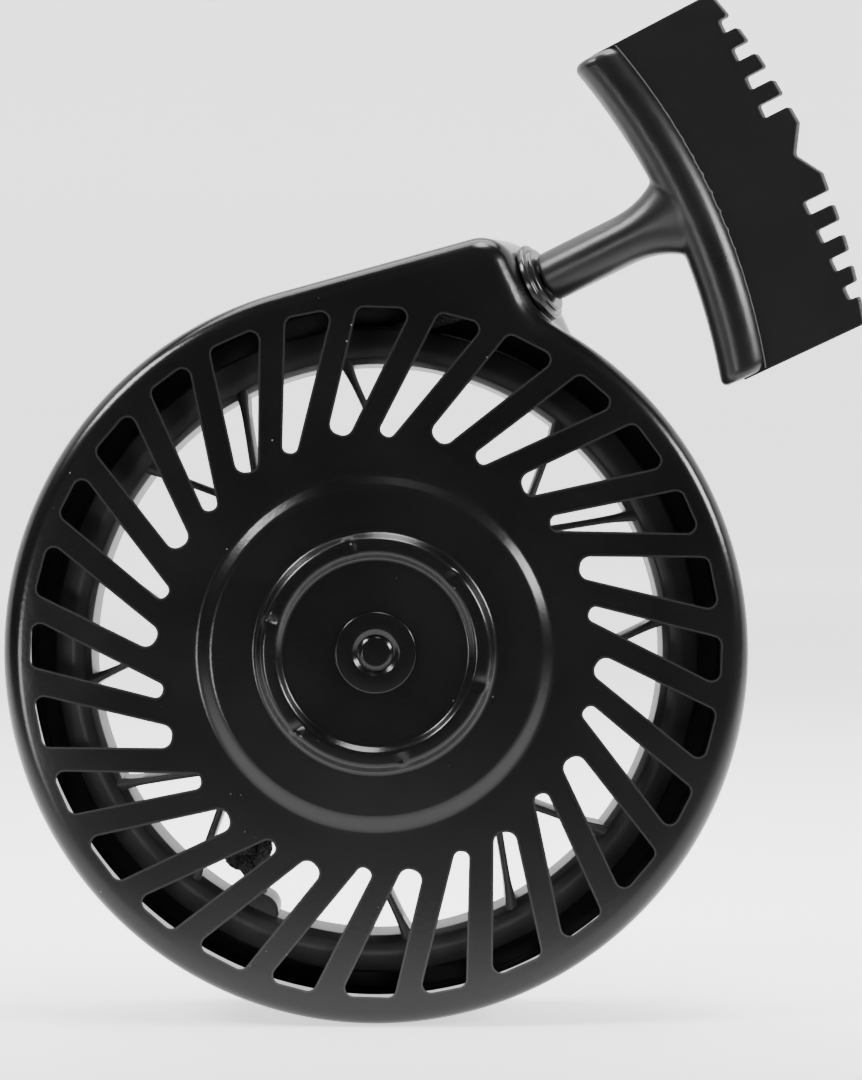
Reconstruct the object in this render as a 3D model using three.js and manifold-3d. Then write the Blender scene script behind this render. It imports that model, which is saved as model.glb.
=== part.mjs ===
// Recoil (pull-rope) starter for a small engine, in millimetres.
// +X right and +Z up across the face, +Y towards the engine.
// The origin is on the pulley axis, in the plane of the housing's rear rim.
import * as THREE from 'three';
import { mergeVertices } from 'three/addons/utils/BufferGeometryUtils.js';
import Module from 'manifold-3d';

const wasm = await Module();
wasm.setup();

// ---------------------------------------------------------------- sizes
const GAP = 0.3; // running and seating clearance
const DEG = Math.PI / 180;

const housing = {
  radius: 102.5, depth: 48, wall: 1.6, rim: 5.8,
  disc: 47, discRise: 2, discSlope: 3,
  bead: 29, beadWidth: 5.6, beadRise: 2.6, beadInset: 0.7,
};
const slots = {
  count: 14, margin: 7, corner: 3.3,
  kinds: [
    { name: 'narrow', start: 23.85, sweep: 11.6, inner: 58.2, innerWidth: 5.5, outerWidth: 15.2 },
    { name: 'wide', start: 11.2, sweep: 10.2, inner: 59.2, innerWidth: 7.4, outerWidth: 17 },
  ],
};
const spout = {
  heading: 25, tilt: 20, tangent: 105.5, setback: 24.4,
  slantDepth: 26, corner: [9, 13], fillet: [14, 8],
};
const rope = { radius: 2.2, fromCorner: 6.76, exitDepth: 14.5, lanes: 3, layers: 2 };
const grommet = { flange: 11.2, flangeHeight: 1.9, lip: 9.4, lipHeight: 1.2, neck: 7.2, inner: 8.6, bore: 3.2 };
const pads = { count: 4, start: 45, width: 20, height: 18, press: 0.9, bolt: 3.4, boltDepth: 10 };

const post = { radius: 8, head: 11.3, headHeight: 0.9, neck: 6.4, dimple: 5.4, dimpleDepth: 1.1, step: 2 };
// Setbacks are measured from the housing's face, the rest of the pulley's heights from the rear rim.
const pulley = {
  hub: 52, hubWall: 3, hubSetback: 5.8, floor: 24, rear: 20,
  sleeveWall: 3.7, bossWall: 5.7, bossRear: 12.2,
  ringInner: 79.8, ringWall: 1.7, flange: 2, guardClearance: 1.5, ringSetback: 14.8, crown: 2.6,
};
const ribs = { pairs: 8, start: 39.5, spread: 30.1, reach: 8.8, thickness: 2, crestSetback: 8, footSetback: 15.8 };
const collar = { wall: 3, flange: 24, flangeHeight: 1.5, rear: 27 };
const spring = { clearance: 1.1, turns: 7, thickness: 0.9, width: 13 };
const cover = {
  clearance: 1.7, thickness: 1, screws: 3, edge: 5.2, boss: 3.6, screw: 1.4, screwLength: 12,
  head: 2.8, headHeight: 1.7,
};
const dog = {
  pivot: 27, eye: 5, pin: 2.2, lean: 15, arm: 20, tip: 3.4, peg: 1.6, pegArm: 9,
  thickness: 6.4, pinHead: 3.5, headHeight: 0.9, swing: 32,
};
const retainer = { disc: 15, ear: 4.6, thickness: 2.5, rear: 8.7, lag: 25, washer: 10, washerHeight: 1 };
const screw = { radius: 2.8, head: 7.4, headHeight: 3.2, length: 16, socket: 3, socketDepth: 1.8 };
const knot = { radius: 8.2, fromRing: 11.3, gap: 4, fromRib: 13, exitTurn: 2.4, boss: 5 };
const handle = {
  stem: 7, seat: 0.3, bow: 180, barCentre: 49.2, barRadius: 7.2, halfLength: 48.4,
  plateHalf: 48.9, plateThickness: 5.6, tip: 84.9, notchFloor: 77.2, notches: 4, firstNotch: 14.3,
  notchPitch: 8.4, notchWidth: 3.8, vee: 7.4, veeDepth: 4.6, flare: 13, flareLength: 15,
  knot: 4.9, washer: 1, pocketStart: 42.6,
};

// ---------------------------------------------------------------- finishes
const finish = (color, roughness, metalness) => new THREE.MeshStandardMaterial({ color, roughness, metalness });
const finishes = {
  coat: finish(0x0b0b0c, 0.32, 0.1),
  nylon: finish(0x17181a, 0.55, 0),
  rubber: finish(0x0d0d0e, 0.3, 0),
  grip: finish(0x141416, 0.5, 0),
  braid: finish(0x18181a, 0.9, 0),
  zinc: finish(0xa9a99f, 0.35, 0.9),
  blued: finish(0x2c2f36, 0.35, 0.85),
  cast: finish(0x6c6c6c, 0.5, 0.8),
};

// ---------------------------------------------------------------- shape tools
function solid(geometry) {
  const bare = geometry.clone();
  bare.deleteAttribute('normal');
  bare.deleteAttribute('uv');
  const merged = mergeVertices(bare, 1e-4);
  const index = Array.from(merged.index.array);
  const triangles = [];
  for (let i = 0; i < index.length; i += 3) {
    const [a, b, c] = index.slice(i, i + 3);
    if (a !== b && b !== c && c !== a) triangles.push(a, b, c);
  }
  const mesh = new wasm.Mesh({
    numProp: 3,
    vertProperties: new Float32Array(merged.attributes.position.array),
    triVerts: new Uint32Array(triangles),
  });
  return new wasm.Manifold(mesh);
}

function geometryOf(body) {
  const mesh = body.getMesh();
  const geometry = new THREE.BufferGeometry();
  geometry.setAttribute('position', new THREE.BufferAttribute(new Float32Array(mesh.vertProperties), 3));
  geometry.setIndex(new THREE.BufferAttribute(new Uint32Array(mesh.triVerts), 1));
  geometry.computeVertexNormals();
  return geometry;
}

const joined = (bodies) => bodies.reduce((sum, body) => sum.add(body));
const cut = (body, tools) => tools.reduce((left, tool) => left.subtract(tool), body);
const moved = (geometry, matrix) => solid(geometry.clone().applyMatrix4(matrix));
const polar = (radius, degrees) => [radius * Math.cos(degrees * DEG), radius * Math.sin(degrees * DEG)];

function signedArea(points) {
  return points.reduce((sum, [x, y], i) => {
    const [nextX, nextY] = points[(i + 1) % points.length];
    return sum + (x * nextY - nextX * y) / 2;
  }, 0);
}

// A ring or disc about the local Y axis from a closed profile of [radius, y] points.
function turnedGeometry(profile, segments = 32) {
  const points = signedArea(profile) < 0 ? [...profile].reverse() : profile;
  const loop = [...points, points[0]].map(([r, y]) => new THREE.Vector2(r, y));
  return new THREE.LatheGeometry(loop, segments);
}
const turned = (profile, segments) => solid(turnedGeometry(profile, segments));

// A plain cylinder or tube about Y between two heights.
function tube(outer, inner, low, high, segments = 24) {
  return turned([[inner, low], [outer, low], [outer, high], [inner, high]], segments);
}

// A flat shape in X and Z, as thick as from one Y height to another.
function slab(shape, low, high, curveSegments = 8) {
  const geometry = new THREE.ExtrudeGeometry(shape, { depth: high - low, bevelEnabled: false, curveSegments });
  geometry.rotateX(Math.PI / 2);
  geometry.translate(0, high, 0);
  return solid(geometry);
}

// A polygon whose corners [x, y, radius] are rounded.
function roundedPath(corners, steps = 4) {
  const points = [];
  corners.forEach(([x, y, radius = 0], i) => {
    const here = new THREE.Vector2(x, y);
    const [beforeX, beforeY] = corners[(i + corners.length - 1) % corners.length];
    const [afterX, afterY] = corners[(i + 1) % corners.length];
    const before = new THREE.Vector2(beforeX, beforeY).sub(here);
    const after = new THREE.Vector2(afterX, afterY).sub(here);
    if (radius === 0) {
      points.push(here);
      return;
    }
    const half = Math.acos(before.clone().normalize().dot(after.clone().normalize())) / 2;
    const room = Math.min(before.length(), after.length()) * 0.499;
    const trim = Math.min(radius / Math.tan(half), room);
    const from = here.clone().addScaledVector(before.clone().normalize(), trim);
    const to = here.clone().addScaledVector(after.clone().normalize(), trim);
    const bisector = before.clone().normalize().add(after.clone().normalize()).normalize();
    const centre = here.clone().addScaledVector(bisector, trim / Math.cos(half));
    const start = Math.atan2(from.y - centre.y, from.x - centre.x);
    let sweep = Math.atan2(to.y - centre.y, to.x - centre.x) - start;
    if (sweep > Math.PI) sweep -= 2 * Math.PI;
    if (sweep < -Math.PI) sweep += 2 * Math.PI;
    for (let k = 0; k <= steps; k += 1) {
      const angle = start + (sweep * k) / steps;
      const reach = trim * Math.tan(half);
      points.push(new THREE.Vector2(centre.x + reach * Math.cos(angle), centre.y + reach * Math.sin(angle)));
    }
  });
  return points;
}

// A solid through rings of [x, z] points, one ring for each Y height, rear ring first.
function lofted(levels) {
  const count = levels[0].points.length;
  const position = levels.flatMap(({ y, points }) => points.flatMap(([x, z]) => [x, y, z]));
  const index = [];
  for (let level = 0; level < levels.length - 1; level += 1) {
    for (let i = 0; i < count; i += 1) {
      const a = level * count + i;
      const b = level * count + ((i + 1) % count);
      index.push(a, b, b + count, a, b + count, a + count);
    }
  }
  const flat = (level) => levels[level].points.map(([x, z]) => new THREE.Vector2(x, z));
  const last = levels.length - 1;
  THREE.ShapeUtils.triangulateShape(flat(0), []).forEach(([a, b, c]) => index.push(a, c, b));
  THREE.ShapeUtils.triangulateShape(flat(last), []).forEach((face) => {
    index.push(...face.map((corner) => corner + last * count));
  });
  const geometry = new THREE.BufferGeometry();
  geometry.setAttribute('position', new THREE.Float32BufferAttribute(position, 3));
  geometry.setIndex(index);
  return solid(geometry);
}

const assembly = new THREE.Group();
function part(name, body, material) {
  const mesh = new THREE.Mesh(geometryOf(body), material);
  mesh.name = name;
  assembly.add(mesh);
}

// ---------------------------------------------------------------- housing outline
// The outline is a circle with a spout on a straight tangent edge. The spout's end wall
// leans out from the face to `slantDepth`, so its reach grows with depth.
const across = [Math.cos(spout.heading * DEG), Math.sin(spout.heading * DEG)];
const along = [-across[1], across[0]];
const fromSpout = (u, v) => [u * across[0] + v * along[0], u * across[1] + v * along[1]];
const lean = Math.tan(spout.tilt * DEG);

const spoutReach = housing.radius - spout.setback;
const tangent = (spout.tangent - spout.heading) * DEG;

// Where the end wall, its fillet and its corner lie at a depth behind the face.
function spoutAt(depth) {
  const share = Math.min(depth / spout.slantDepth, 1);
  const blend = ([front, deep]) => front + (deep - front) * share;
  const fillet = blend(spout.fillet);
  const corner = blend(spout.corner);
  const wall = spoutReach + spout.slantDepth * share * lean;
  const filletU = wall + fillet;
  const filletV = Math.sqrt((housing.radius + fillet) ** 2 - filletU ** 2);
  const cornerU = wall - corner;
  const cornerV = (housing.radius - corner - cornerU * Math.cos(tangent)) / Math.sin(tangent);
  return { wall, fillet, corner, filletU, filletV, cornerU, cornerV };
}

function outline(depth, inset, segments = 60) {
  const { fillet, corner, filletU, filletV, cornerU, cornerV } = spoutAt(depth);
  const radius = housing.radius - inset;
  const joint = Math.atan2(filletV, filletU);

  const points = [];
  const arc = (centreU, centreV, reach, from, to, steps, skip = 0) => {
    for (let i = skip; i <= steps; i += 1) {
      const angle = from + ((to - from) * i) / steps;
      points.push(fromSpout(centreU + reach * Math.cos(angle), centreV + reach * Math.sin(angle)));
    }
  };
  arc(0, 0, radius, tangent, joint + 2 * Math.PI, segments);
  arc(filletU, filletV, fillet + inset, joint - Math.PI, -Math.PI, 4, 1);
  arc(cornerU, cornerV, Math.max(corner - inset, 0.5), 0, tangent, 6);
  return points;
}

// The body of the cup, `skin` inside the outer surface and open past the rear rim.
function cup(skin, rear) {
  const front = -housing.depth + skin;
  const rimCentre = -housing.depth + housing.rim;
  const radius = housing.rim - skin;
  const levels = [{ y: rear, points: outline(housing.depth, skin) }];
  levels.push({ y: -housing.depth + spout.slantDepth, points: outline(spout.slantDepth, skin) });
  const turns = 4;
  for (let i = 0; i <= turns; i += 1) {
    const angle = (Math.PI / 2) * (i / turns);
    const y = i === turns ? front : rimCentre - radius * Math.sin(angle);
    levels.push({ y, points: outline(y + housing.depth, skin + radius * (1 - Math.cos(angle))) });
  }
  return lofted(levels);
}

// The raised disc and the rolled bead round the post, as a turned body on the face.
const face = -housing.depth;
const discFace = face - housing.discRise;
const centreFace = discFace - housing.beadInset;
const sheetBack = centreFace + housing.wall;
function faceRelief(skin, base) {
  const half = housing.beadWidth / 2;
  const at = (radius, y) => [radius, y + skin];
  return turned([
    [0, base], [housing.disc + housing.discSlope / 2 - skin, base],
    at(housing.disc + housing.discSlope / 2 - skin, face), at(housing.disc - housing.discSlope / 2 - skin, discFace),
    at(housing.bead + half + 1 - skin, discFace), at(housing.bead + half - 0.8 - skin, discFace - housing.beadRise * 0.75),
    at(housing.bead, discFace - housing.beadRise), at(housing.bead - half + 0.8 + skin, discFace - housing.beadRise * 0.75),
    at(housing.bead - half - 0.6 + skin, centreFace), at(0, centreFace),
  ], 48);
}

const slotReach = housing.radius - slots.margin;
function slotShape(kind, turn) {
  const inner = kind.inner + kind.innerWidth / 2;
  const half = kind.outerWidth / 2 / slotReach / DEG;
  const centre = new THREE.Vector2(...polar(inner, kind.start + kind.sweep + turn));
  const mouth = new THREE.Vector2(...polar(slotReach, kind.start + turn));
  const way = mouth.clone().sub(centre).normalize();
  const side = new THREE.Vector2(-way.y, way.x).multiplyScalar(kind.innerWidth / 2);
  const foot = centre.clone().addScaledVector(way, -kind.innerWidth / 2);
  const corners = [
    [foot.x + side.x, foot.y + side.y, kind.innerWidth / 2],
    [foot.x - side.x, foot.y - side.y, kind.innerWidth / 2],
    [...polar(slotReach, kind.start + turn - half), slots.corner],
    [...polar(slotReach, kind.start + turn + half), slots.corner],
  ];
  return new THREE.Shape(roundedPath(corners));
}

// ---------------------------------------------------------------- rope exit
const exitSpout = spoutAt(rope.exitDepth);
const [exitX, exitZ] = fromSpout(exitSpout.wall, exitSpout.cornerV - rope.fromCorner);
const exit = new THREE.Vector3(exitX, face + rope.exitDepth, exitZ);
const tiltCos = Math.cos(spout.tilt * DEG);
const pull = new THREE.Vector3(across[0] * tiltCos, -Math.sin(spout.tilt * DEG), across[1] * tiltCos);
const sideways = new THREE.Vector3(along[0], 0, along[1]);
const facing = new THREE.Vector3().crossVectors(pull, sideways);
// Local X runs out along the rope, Y across the handle and Z towards the front.
const exitFrame = new THREE.Matrix4().makeBasis(pull, sideways, facing).setPosition(exit);
// The same frame for turned pieces, whose axis is their local Y.
const turnedFrame = exitFrame.clone().multiply(new THREE.Matrix4().makeRotationZ(-Math.PI / 2));
const onRope = (profile, segments) => moved(turnedGeometry(profile, segments), turnedFrame);

function starterHousing() {
  const shell = cut(joined([cup(0, 0), faceRelief(0, face + 1)]), [
    joined([cup(housing.wall, 5), faceRelief(housing.wall, face + housing.wall + 1)]),
  ]);
  const windows = slots.kinds.flatMap((kind) => Array.from({ length: slots.count }, (_, i) => (
    slab(slotShape(kind, (360 / slots.count) * i), face - 1, face + housing.wall + 1)
  )));
  const pad = (i) => {
    const flat = housing.radius - pads.press;
    const block = new THREE.BoxGeometry(housing.wall, pads.height, pads.width);
    block.translate(flat - housing.wall / 2, -pads.height / 2, 0);
    const clearing = new THREE.BoxGeometry(10, pads.height, pads.width);
    clearing.translate(flat + 5, -pads.height / 2, 0);
    const bolt = new THREE.CylinderGeometry(pads.bolt, pads.bolt, 20, 20);
    bolt.rotateZ(Math.PI / 2).translate(flat, -pads.boltDepth, 0);
    const turn = new THREE.Matrix4().makeRotationY(-(pads.start + (360 / pads.count) * i) * DEG);
    return { block: moved(block, turn), tools: [moved(clearing, turn), moved(bolt, turn)] };
  };
  const seats = Array.from({ length: pads.count }, (_, i) => pad(i));
  const throat = onRope([[0, -8], [grommet.neck + GAP, -8], [grommet.neck + GAP, 4], [0, 4]], 28);
  const rivetHole = tube(post.neck + GAP, 0, face - 8, face + 8, 28);
  const padded = joined([shell, ...seats.map((seat) => seat.block)]);
  return cut(padded, [...seats.flatMap((seat) => seat.tools), throat, rivetHole, joined(windows)]);
}
part('starter_housing', starterHousing(), finishes.coat);

// ---------------------------------------------------------------- centre post and its collar
const bossRear = -pulley.bossRear;
const sleeve = post.radius + GAP + pulley.sleeveWall;
const boss = post.radius + GAP + pulley.bossWall;
const stepRadius = post.radius - post.step;
const hubFront = -housing.depth + pulley.hubSetback;
const stepRear = -retainer.rear + 1.7;
const headTop = centreFace - GAP - post.headHeight;
part('centre_post', cut(turned([
  [0, headTop + post.dimpleDepth], [post.dimple, headTop + post.dimpleDepth], [post.dimple, headTop],
  [post.head, headTop], [post.head, centreFace - GAP], [post.neck, centreFace - GAP],
  [post.neck, sheetBack + GAP], [post.radius, sheetBack + GAP], [post.radius, bossRear],
  [stepRadius, bossRear], [stepRadius, stepRear], [0, stepRear],
], 24), [tube(screw.radius + GAP, 0, stepRear - screw.length - 1, stepRear + 1, 16)]), finishes.zinc);

const collarBore = sleeve + GAP;
const collarOuter = collarBore + collar.wall;
const collarFront = sheetBack + GAP;
part('spring_collar', cut(turned([
  [post.radius + GAP, collarFront], [collar.flange, collarFront],
  [collar.flange, collarFront + collar.flangeHeight], [collarOuter, collarFront + collar.flangeHeight],
  [collarOuter, -collar.rear], [collarBore, -collar.rear],
  [collarBore, collarFront + collar.flangeHeight], [post.radius + GAP, collarFront + collar.flangeHeight],
], 32), [slab(new THREE.Shape(roundedPath([[0, -1.6], [30, -1.6], [30, 1.6], [0, 1.6]])),
  hubFront + 1, 0).subtract(tube(collarBore + 0.9, 0, -60, 5))]), finishes.zinc);

// ---------------------------------------------------------------- grommet
const lipTop = GAP + grommet.flangeHeight + grommet.lipHeight;
const innerFace = -housing.wall * tiltCos - GAP;
part('rope_grommet', onRope([
  [grommet.bore + 1.6, lipTop], [grommet.lip - 0.6, lipTop], [grommet.lip, lipTop - 0.7],
  [grommet.lip, GAP + grommet.flangeHeight], [grommet.flange - 0.5, GAP + grommet.flangeHeight],
  [grommet.flange, GAP + grommet.flangeHeight - 0.6], [grommet.flange, GAP], [grommet.neck, GAP],
  [grommet.neck, innerFace], [grommet.inner, innerFace], [grommet.inner, innerFace - 1.6],
  [grommet.bore + 2, innerFace - 1.6], [grommet.bore, innerFace], [grommet.bore, lipTop - 1.6],
], 24), finishes.rubber);

// ---------------------------------------------------------------- pulley
const groovePitch = 2 * rope.radius + GAP;
const ringFront = -housing.depth + pulley.ringSetback;
const grooveFront = ringFront + pulley.flange;
const grooveRear = grooveFront + rope.lanes * groovePitch + 3 * GAP;
const ringRear = grooveRear + pulley.flange;
const grooveFloor = pulley.ringInner + pulley.ringWall;
const ringOuter = grooveFloor + rope.layers * 2 * rope.radius + GAP;
// A flat guard ring round the rope ring closes most of the gap inside the skirt and clears the screw pads.
const guardOuter = housing.radius - housing.wall - pads.press - pulley.guardClearance;
const ribApex = pulley.hub - 1.4;
const ribSine = ribApex * Math.sin(ribs.spread * DEG);
const ribLength = Math.sqrt((pulley.ringInner + ribs.reach) ** 2 - ribSine ** 2) - ribApex * Math.cos(ribs.spread * DEG);

function radialBlade(side, pairAngle) {
  const blade = new THREE.Shape(roundedPath([
    [-3, -pulley.rear], [-3, -housing.depth + ribs.crestSetback],
    [ribLength, -housing.depth + ribs.footSetback], [ribLength, grooveFront],
    [ribLength - 4, grooveRear], [ribLength - 9, -pulley.rear + 2], [ribLength - 14, -pulley.rear],
  ]));
  const geometry = new THREE.ExtrudeGeometry(blade, { depth: ribs.thickness, bevelEnabled: false });
  geometry.translate(0, 0, -ribs.thickness / 2);
  const turn = new THREE.Matrix4().makeRotationY(-side * ribs.spread * DEG);
  const place = new THREE.Matrix4().makeTranslation(ribApex, 0, 0);
  const around = new THREE.Matrix4().makeRotationY(-pairAngle * DEG);
  return moved(geometry, around.multiply(place).multiply(turn));
}

const screwCircle = pulley.hub - cover.edge;
const screwTip = hubFront + cover.screwLength;
const screwSpots = Array.from({ length: cover.screws }, (_, i) => polar(screwCircle, 90 + (360 / cover.screws) * i));
// The rope's inner end is knotted in one gap between two pairs of ribs.
const ribPitch = 360 / ribs.pairs;
const knotRadius = pulley.ringInner - knot.fromRing;
const ribAtKnot = ribs.spread * DEG - Math.asin(ribSine / knotRadius);
const knotAngle = ribs.start + ribPitch * knot.gap + ribAtKnot / DEG + knot.fromRib / knotRadius / DEG;
const exitHoleAngle = ribs.start + ribPitch * (knot.gap + 0.5) + knot.exitTurn;
const knotExit = polar(grooveFloor, exitHoleAngle);
function ropePulley() {
  const hub = turned([
    [post.radius + GAP, hubFront], [sleeve, hubFront], [sleeve, -pulley.floor],
    [pulley.hub - pulley.hubWall, -pulley.floor], [pulley.hub - pulley.hubWall, hubFront],
    [pulley.hub, hubFront], [pulley.hub, -pulley.rear], [boss, -pulley.rear],
    [boss, bossRear - GAP], [post.radius + GAP, bossRear - GAP],
  ], 48);
  const ring = turned([
    [pulley.ringInner, ringFront + 3], [pulley.ringInner + 1.6, ringFront],
    [pulley.ringInner + 4.4, ringFront - pulley.crown * 0.4],
    [ringOuter - 1.2, grooveFront - 1.2], [ringOuter, grooveFront],
    [ringOuter, ringRear], [pulley.ringInner, ringRear],
  ], 72);
  const groove = turned([
    [grooveFloor, grooveFront], [ringOuter + 8, grooveFront],
    [ringOuter + 8, grooveRear], [grooveFloor, grooveRear],
  ], 72);
  const blades = Array.from({ length: ribs.pairs }, (_, i) => ribs.start + ribPitch * i)
    .flatMap((angle) => [radialBlade(1, angle), radialBlade(-1, angle)]);
  const inside = tube(pulley.hub - pulley.hubWall, 0, hubFront - 20, -pulley.floor, 48);
  const bossAt = polar(pulley.ringInner + 0.5, exitHoleAngle + 1.6);
  const ropeBoss = tube(knot.boss, 0, ringFront + 2, ringRear, 16).translate([bossAt[0], 0, bossAt[1]]);
  const lug = ([x, z]) => tube(cover.boss, 0, hubFront, -pulley.rear - 1, 16).translate([x, 0, z]);
  const pilot = ([x, z]) => tube(cover.screw + GAP, 0, hubFront - 1, screwTip + 1, 12).translate([x, 0, z]);
  const pins = [0, 180].map((angle) => polar(dog.pivot, angle));
  const pinHole = ([x, z]) => tube(dog.pin + GAP, 0, -pulley.floor - 1, 0, 16).translate([x, 0, z]);
  const bladed = joined(blades).subtract(inside);
  const body = joined([hub, ring, bladed, ropeBoss, ...screwSpots.map(lug)]);
  const ropeHole = new THREE.CylinderGeometry(rope.radius + GAP, rope.radius + GAP, 24, 14);
  ropeHole.rotateZ(Math.PI / 2).translate(grooveFloor, (grooveFront + grooveRear) / 2, 0);
  const bored = moved(ropeHole, new THREE.Matrix4().makeRotationY(-exitHoleAngle * DEG));
  return cut(body, [groove, bored, ...screwSpots.map(pilot), ...pins.map(pinHole)]);
}
part('rope_pulley', ropePulley(), finishes.nylon);
part('rope_guard', tube(guardOuter, ringOuter + GAP, grooveRear, ringRear, 72), finishes.nylon);

// ---------------------------------------------------------------- rewind spring and its cover
function rewindSpring() {
  const steps = spring.turns * 16;
  const first = collarOuter + 2 * spring.clearance;
  const last = screwCircle - cover.boss - spring.clearance;
  const outer = [];
  const inner = [];
  for (let i = 0; i <= steps; i += 1) {
    const share = i / steps;
    const radius = first + (last - first) * share;
    outer.push(polar(radius + spring.thickness / 2, 360 * spring.turns * share));
    inner.push(polar(radius - spring.thickness / 2, 360 * spring.turns * share));
  }
  const shape = new THREE.Shape([...outer, ...inner.reverse()].map(([x, z]) => new THREE.Vector2(x, z)));
  return slab(shape, -pulley.floor - GAP - spring.width, -pulley.floor - GAP);
}
part('rewind_spring', rewindSpring(), finishes.blued);

const coverRear = hubFront - GAP;
const coverFront = coverRear - cover.thickness;
part('spring_cover', cut(tube(pulley.hub - 0.6, collarOuter + cover.clearance, coverFront, coverRear, 48), screwSpots.map(([x, z]) => (
  tube(cover.screw + GAP, 0, coverFront - 1, coverRear + 1, 12).translate([x, 0, z])
))), finishes.zinc);
screwSpots.forEach(([x, z], i) => {
  const top = coverFront - GAP;
  part(`cover_screw_${i + 1}`, turned([
    [0, top - cover.headHeight + 0.8], [1.1, top - cover.headHeight], [cover.head - 0.7, top - cover.headHeight],
    [cover.head, top - 0.6], [cover.head, top], [cover.screw, top],
    [cover.screw, screwTip], [0, screwTip],
  ], 16).translate([x, 0, z]), finishes.zinc);
});

// ---------------------------------------------------------------- rope on the drum
const coilInner = grooveFloor + GAP;
const coilLanes = rope.lanes - 1;
const laneY = grooveFront + 2 * GAP + rope.radius;
const coilFront = laneY + rope.radius + GAP;
const coilRear = coilFront + coilLanes * groovePitch - GAP;
const coilOuter = coilInner + rope.layers * 2 * rope.radius - 0.4;
part('rope_coil', turned([
  [coilInner, coilFront], [coilInner, coilRear], [coilOuter - 1.2, coilRear],
  [coilOuter, coilRear - 1.2], [coilOuter, coilFront + 1.2], [coilOuter - 1.2, coilFront],
], 48), finishes.braid);

function ropeKnot() {
  const [x, z] = polar(knotRadius, knotAngle);
  const y = (grooveFront + grooveRear) / 2;
  const lump = new THREE.SphereGeometry(knot.radius, 14, 10);
  lump.scale(1.05, 0.85, 0.92).rotateY(-knotAngle * DEG).translate(x, y, z);
  const stub = new THREE.CylinderGeometry(rope.radius, rope.radius, 1, 10);
  const [endX, endZ] = knotExit;
  const from = new THREE.Vector3(...polarPoint(pulley.ringInner - 7, exitHoleAngle, y));
  const to = new THREE.Vector3(endX, y, endZ);
  const way = to.clone().sub(from);
  stub.scale(1, way.length(), 1).translate(0, way.length() / 2, 0);
  const aim = new THREE.Matrix4().makeRotationFromQuaternion(
    new THREE.Quaternion().setFromUnitVectors(new THREE.Vector3(0, 1, 0), way.clone().normalize()),
  ).setPosition(from);
  return solid(lump).add(moved(stub, aim));
}
function polarPoint(radius, angle, y) {
  const [x, z] = polar(radius, angle);
  return [x, y, z];
}
part('rope_knot', ropeKnot(), finishes.braid);

// The rope leaves the drum on a tangent, in the front lane of the groove. It keeps to that lane
// until it has passed the flange's edge, and then bends into the grommet.
const leadRadius = grooveFloor + 2 * GAP + rope.radius;
const exitAngle = Math.atan2(exit.z, exit.x) / DEG;
const leaveAngle = exitAngle + Math.acos(leadRadius / Math.hypot(exit.x, exit.z)) / DEG;
const ropeEnd = lipTop - 0.8;
function ropeLead() {
  const wrapped = [18, 9, 0].map((turn) => (
    new THREE.Vector3(...polarPoint(leadRadius, leaveAngle + turn, laneY))
  ));
  const start = wrapped[wrapped.length - 1];
  const mouth = exit.clone().addScaledVector(pull, innerFace - 8);
  const flat = mouth.clone().setY(laneY);
  const between = [0.3, 0.6].map((share) => start.clone().lerp(flat, share));
  const end = exit.clone().addScaledVector(pull, ropeEnd);
  const throat = exit.clone().addScaledVector(pull, innerFace);
  const path = new THREE.CatmullRomCurve3([...wrapped, ...between, mouth, throat, end]);
  const section = new THREE.Shape();
  section.absarc(0, 0, rope.radius, 0, 2 * Math.PI);
  return solid(new THREE.ExtrudeGeometry(section, {
    steps: 22, curveSegments: 10, bevelEnabled: false, extrudePath: path,
  }));
}
part('rope_lead', ropeLead(), finishes.braid);

// ---------------------------------------------------------------- drive dogs and their retainer
const pinTop = (height) => -pulley.rear + GAP + dog.thickness + GAP + height;
const turnAbout = ([x, z], [centreX, centreZ], degrees) => {
  const [dx, dz] = [x - centreX, z - centreZ];
  const [c, s] = [Math.cos(degrees * DEG), Math.sin(degrees * DEG)];
  return [centreX + dx * c - dz * s, centreZ + dx * s + dz * c];
};
// An arm runs from its pivot ahead of the pulley's driving turn, folded inwards by `lean`.
const dogReach = (length) => turnAbout([dog.pivot, -length], [dog.pivot, 0], -dog.lean);
const copies = [0, 180];

function driveDog(turn) {
  const low = -pulley.rear + GAP;
  const disc = ([x, z], radius, top = low + dog.thickness) => tube(radius, 0, low, top, 20).translate([x, 0, z]);
  const [tipX, tipZ] = dogReach(dog.arm);
  const [midX, midZ] = dogReach(dog.arm / 2);
  const eye = disc([dog.pivot, 0], dog.eye);
  const arm = wasm.Manifold.hull([disc([dog.pivot, 0], dog.eye - 1), disc([midX, midZ], dog.tip)])
    .add(wasm.Manifold.hull([disc([midX, midZ], dog.tip), disc([tipX, tipZ], dog.tip - 1.2)]));
  const hook = wasm.Manifold.hull([disc([tipX, tipZ], dog.tip - 1.2), disc([tipX + 2.2, tipZ + 0.6], 1.4)]);
  const peg = disc(dogReach(dog.pegArm), dog.peg, -retainer.rear + 0.4);
  const bore = tube(dog.pin + GAP, 0, low - 1, low + dog.thickness + 1, 16).translate([dog.pivot, 0, 0]);
  return joined([eye, arm, hook, peg]).subtract(bore).rotate([0, -turn, 0]);
}

function dogPin(turn) {
  const low = -pulley.floor + 0.4;
  const shoulder = pinTop(0);
  return turned([
    [0, low], [dog.pin, low], [dog.pin, shoulder], [dog.pinHead, shoulder],
    [dog.pinHead, shoulder + dog.headHeight - 0.3], [dog.pinHead - 0.6, shoulder + dog.headHeight],
    [0, shoulder + dog.headHeight],
  ], 20).translate([dog.pivot, 0, 0]).rotate([0, -turn, 0]);
}

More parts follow.
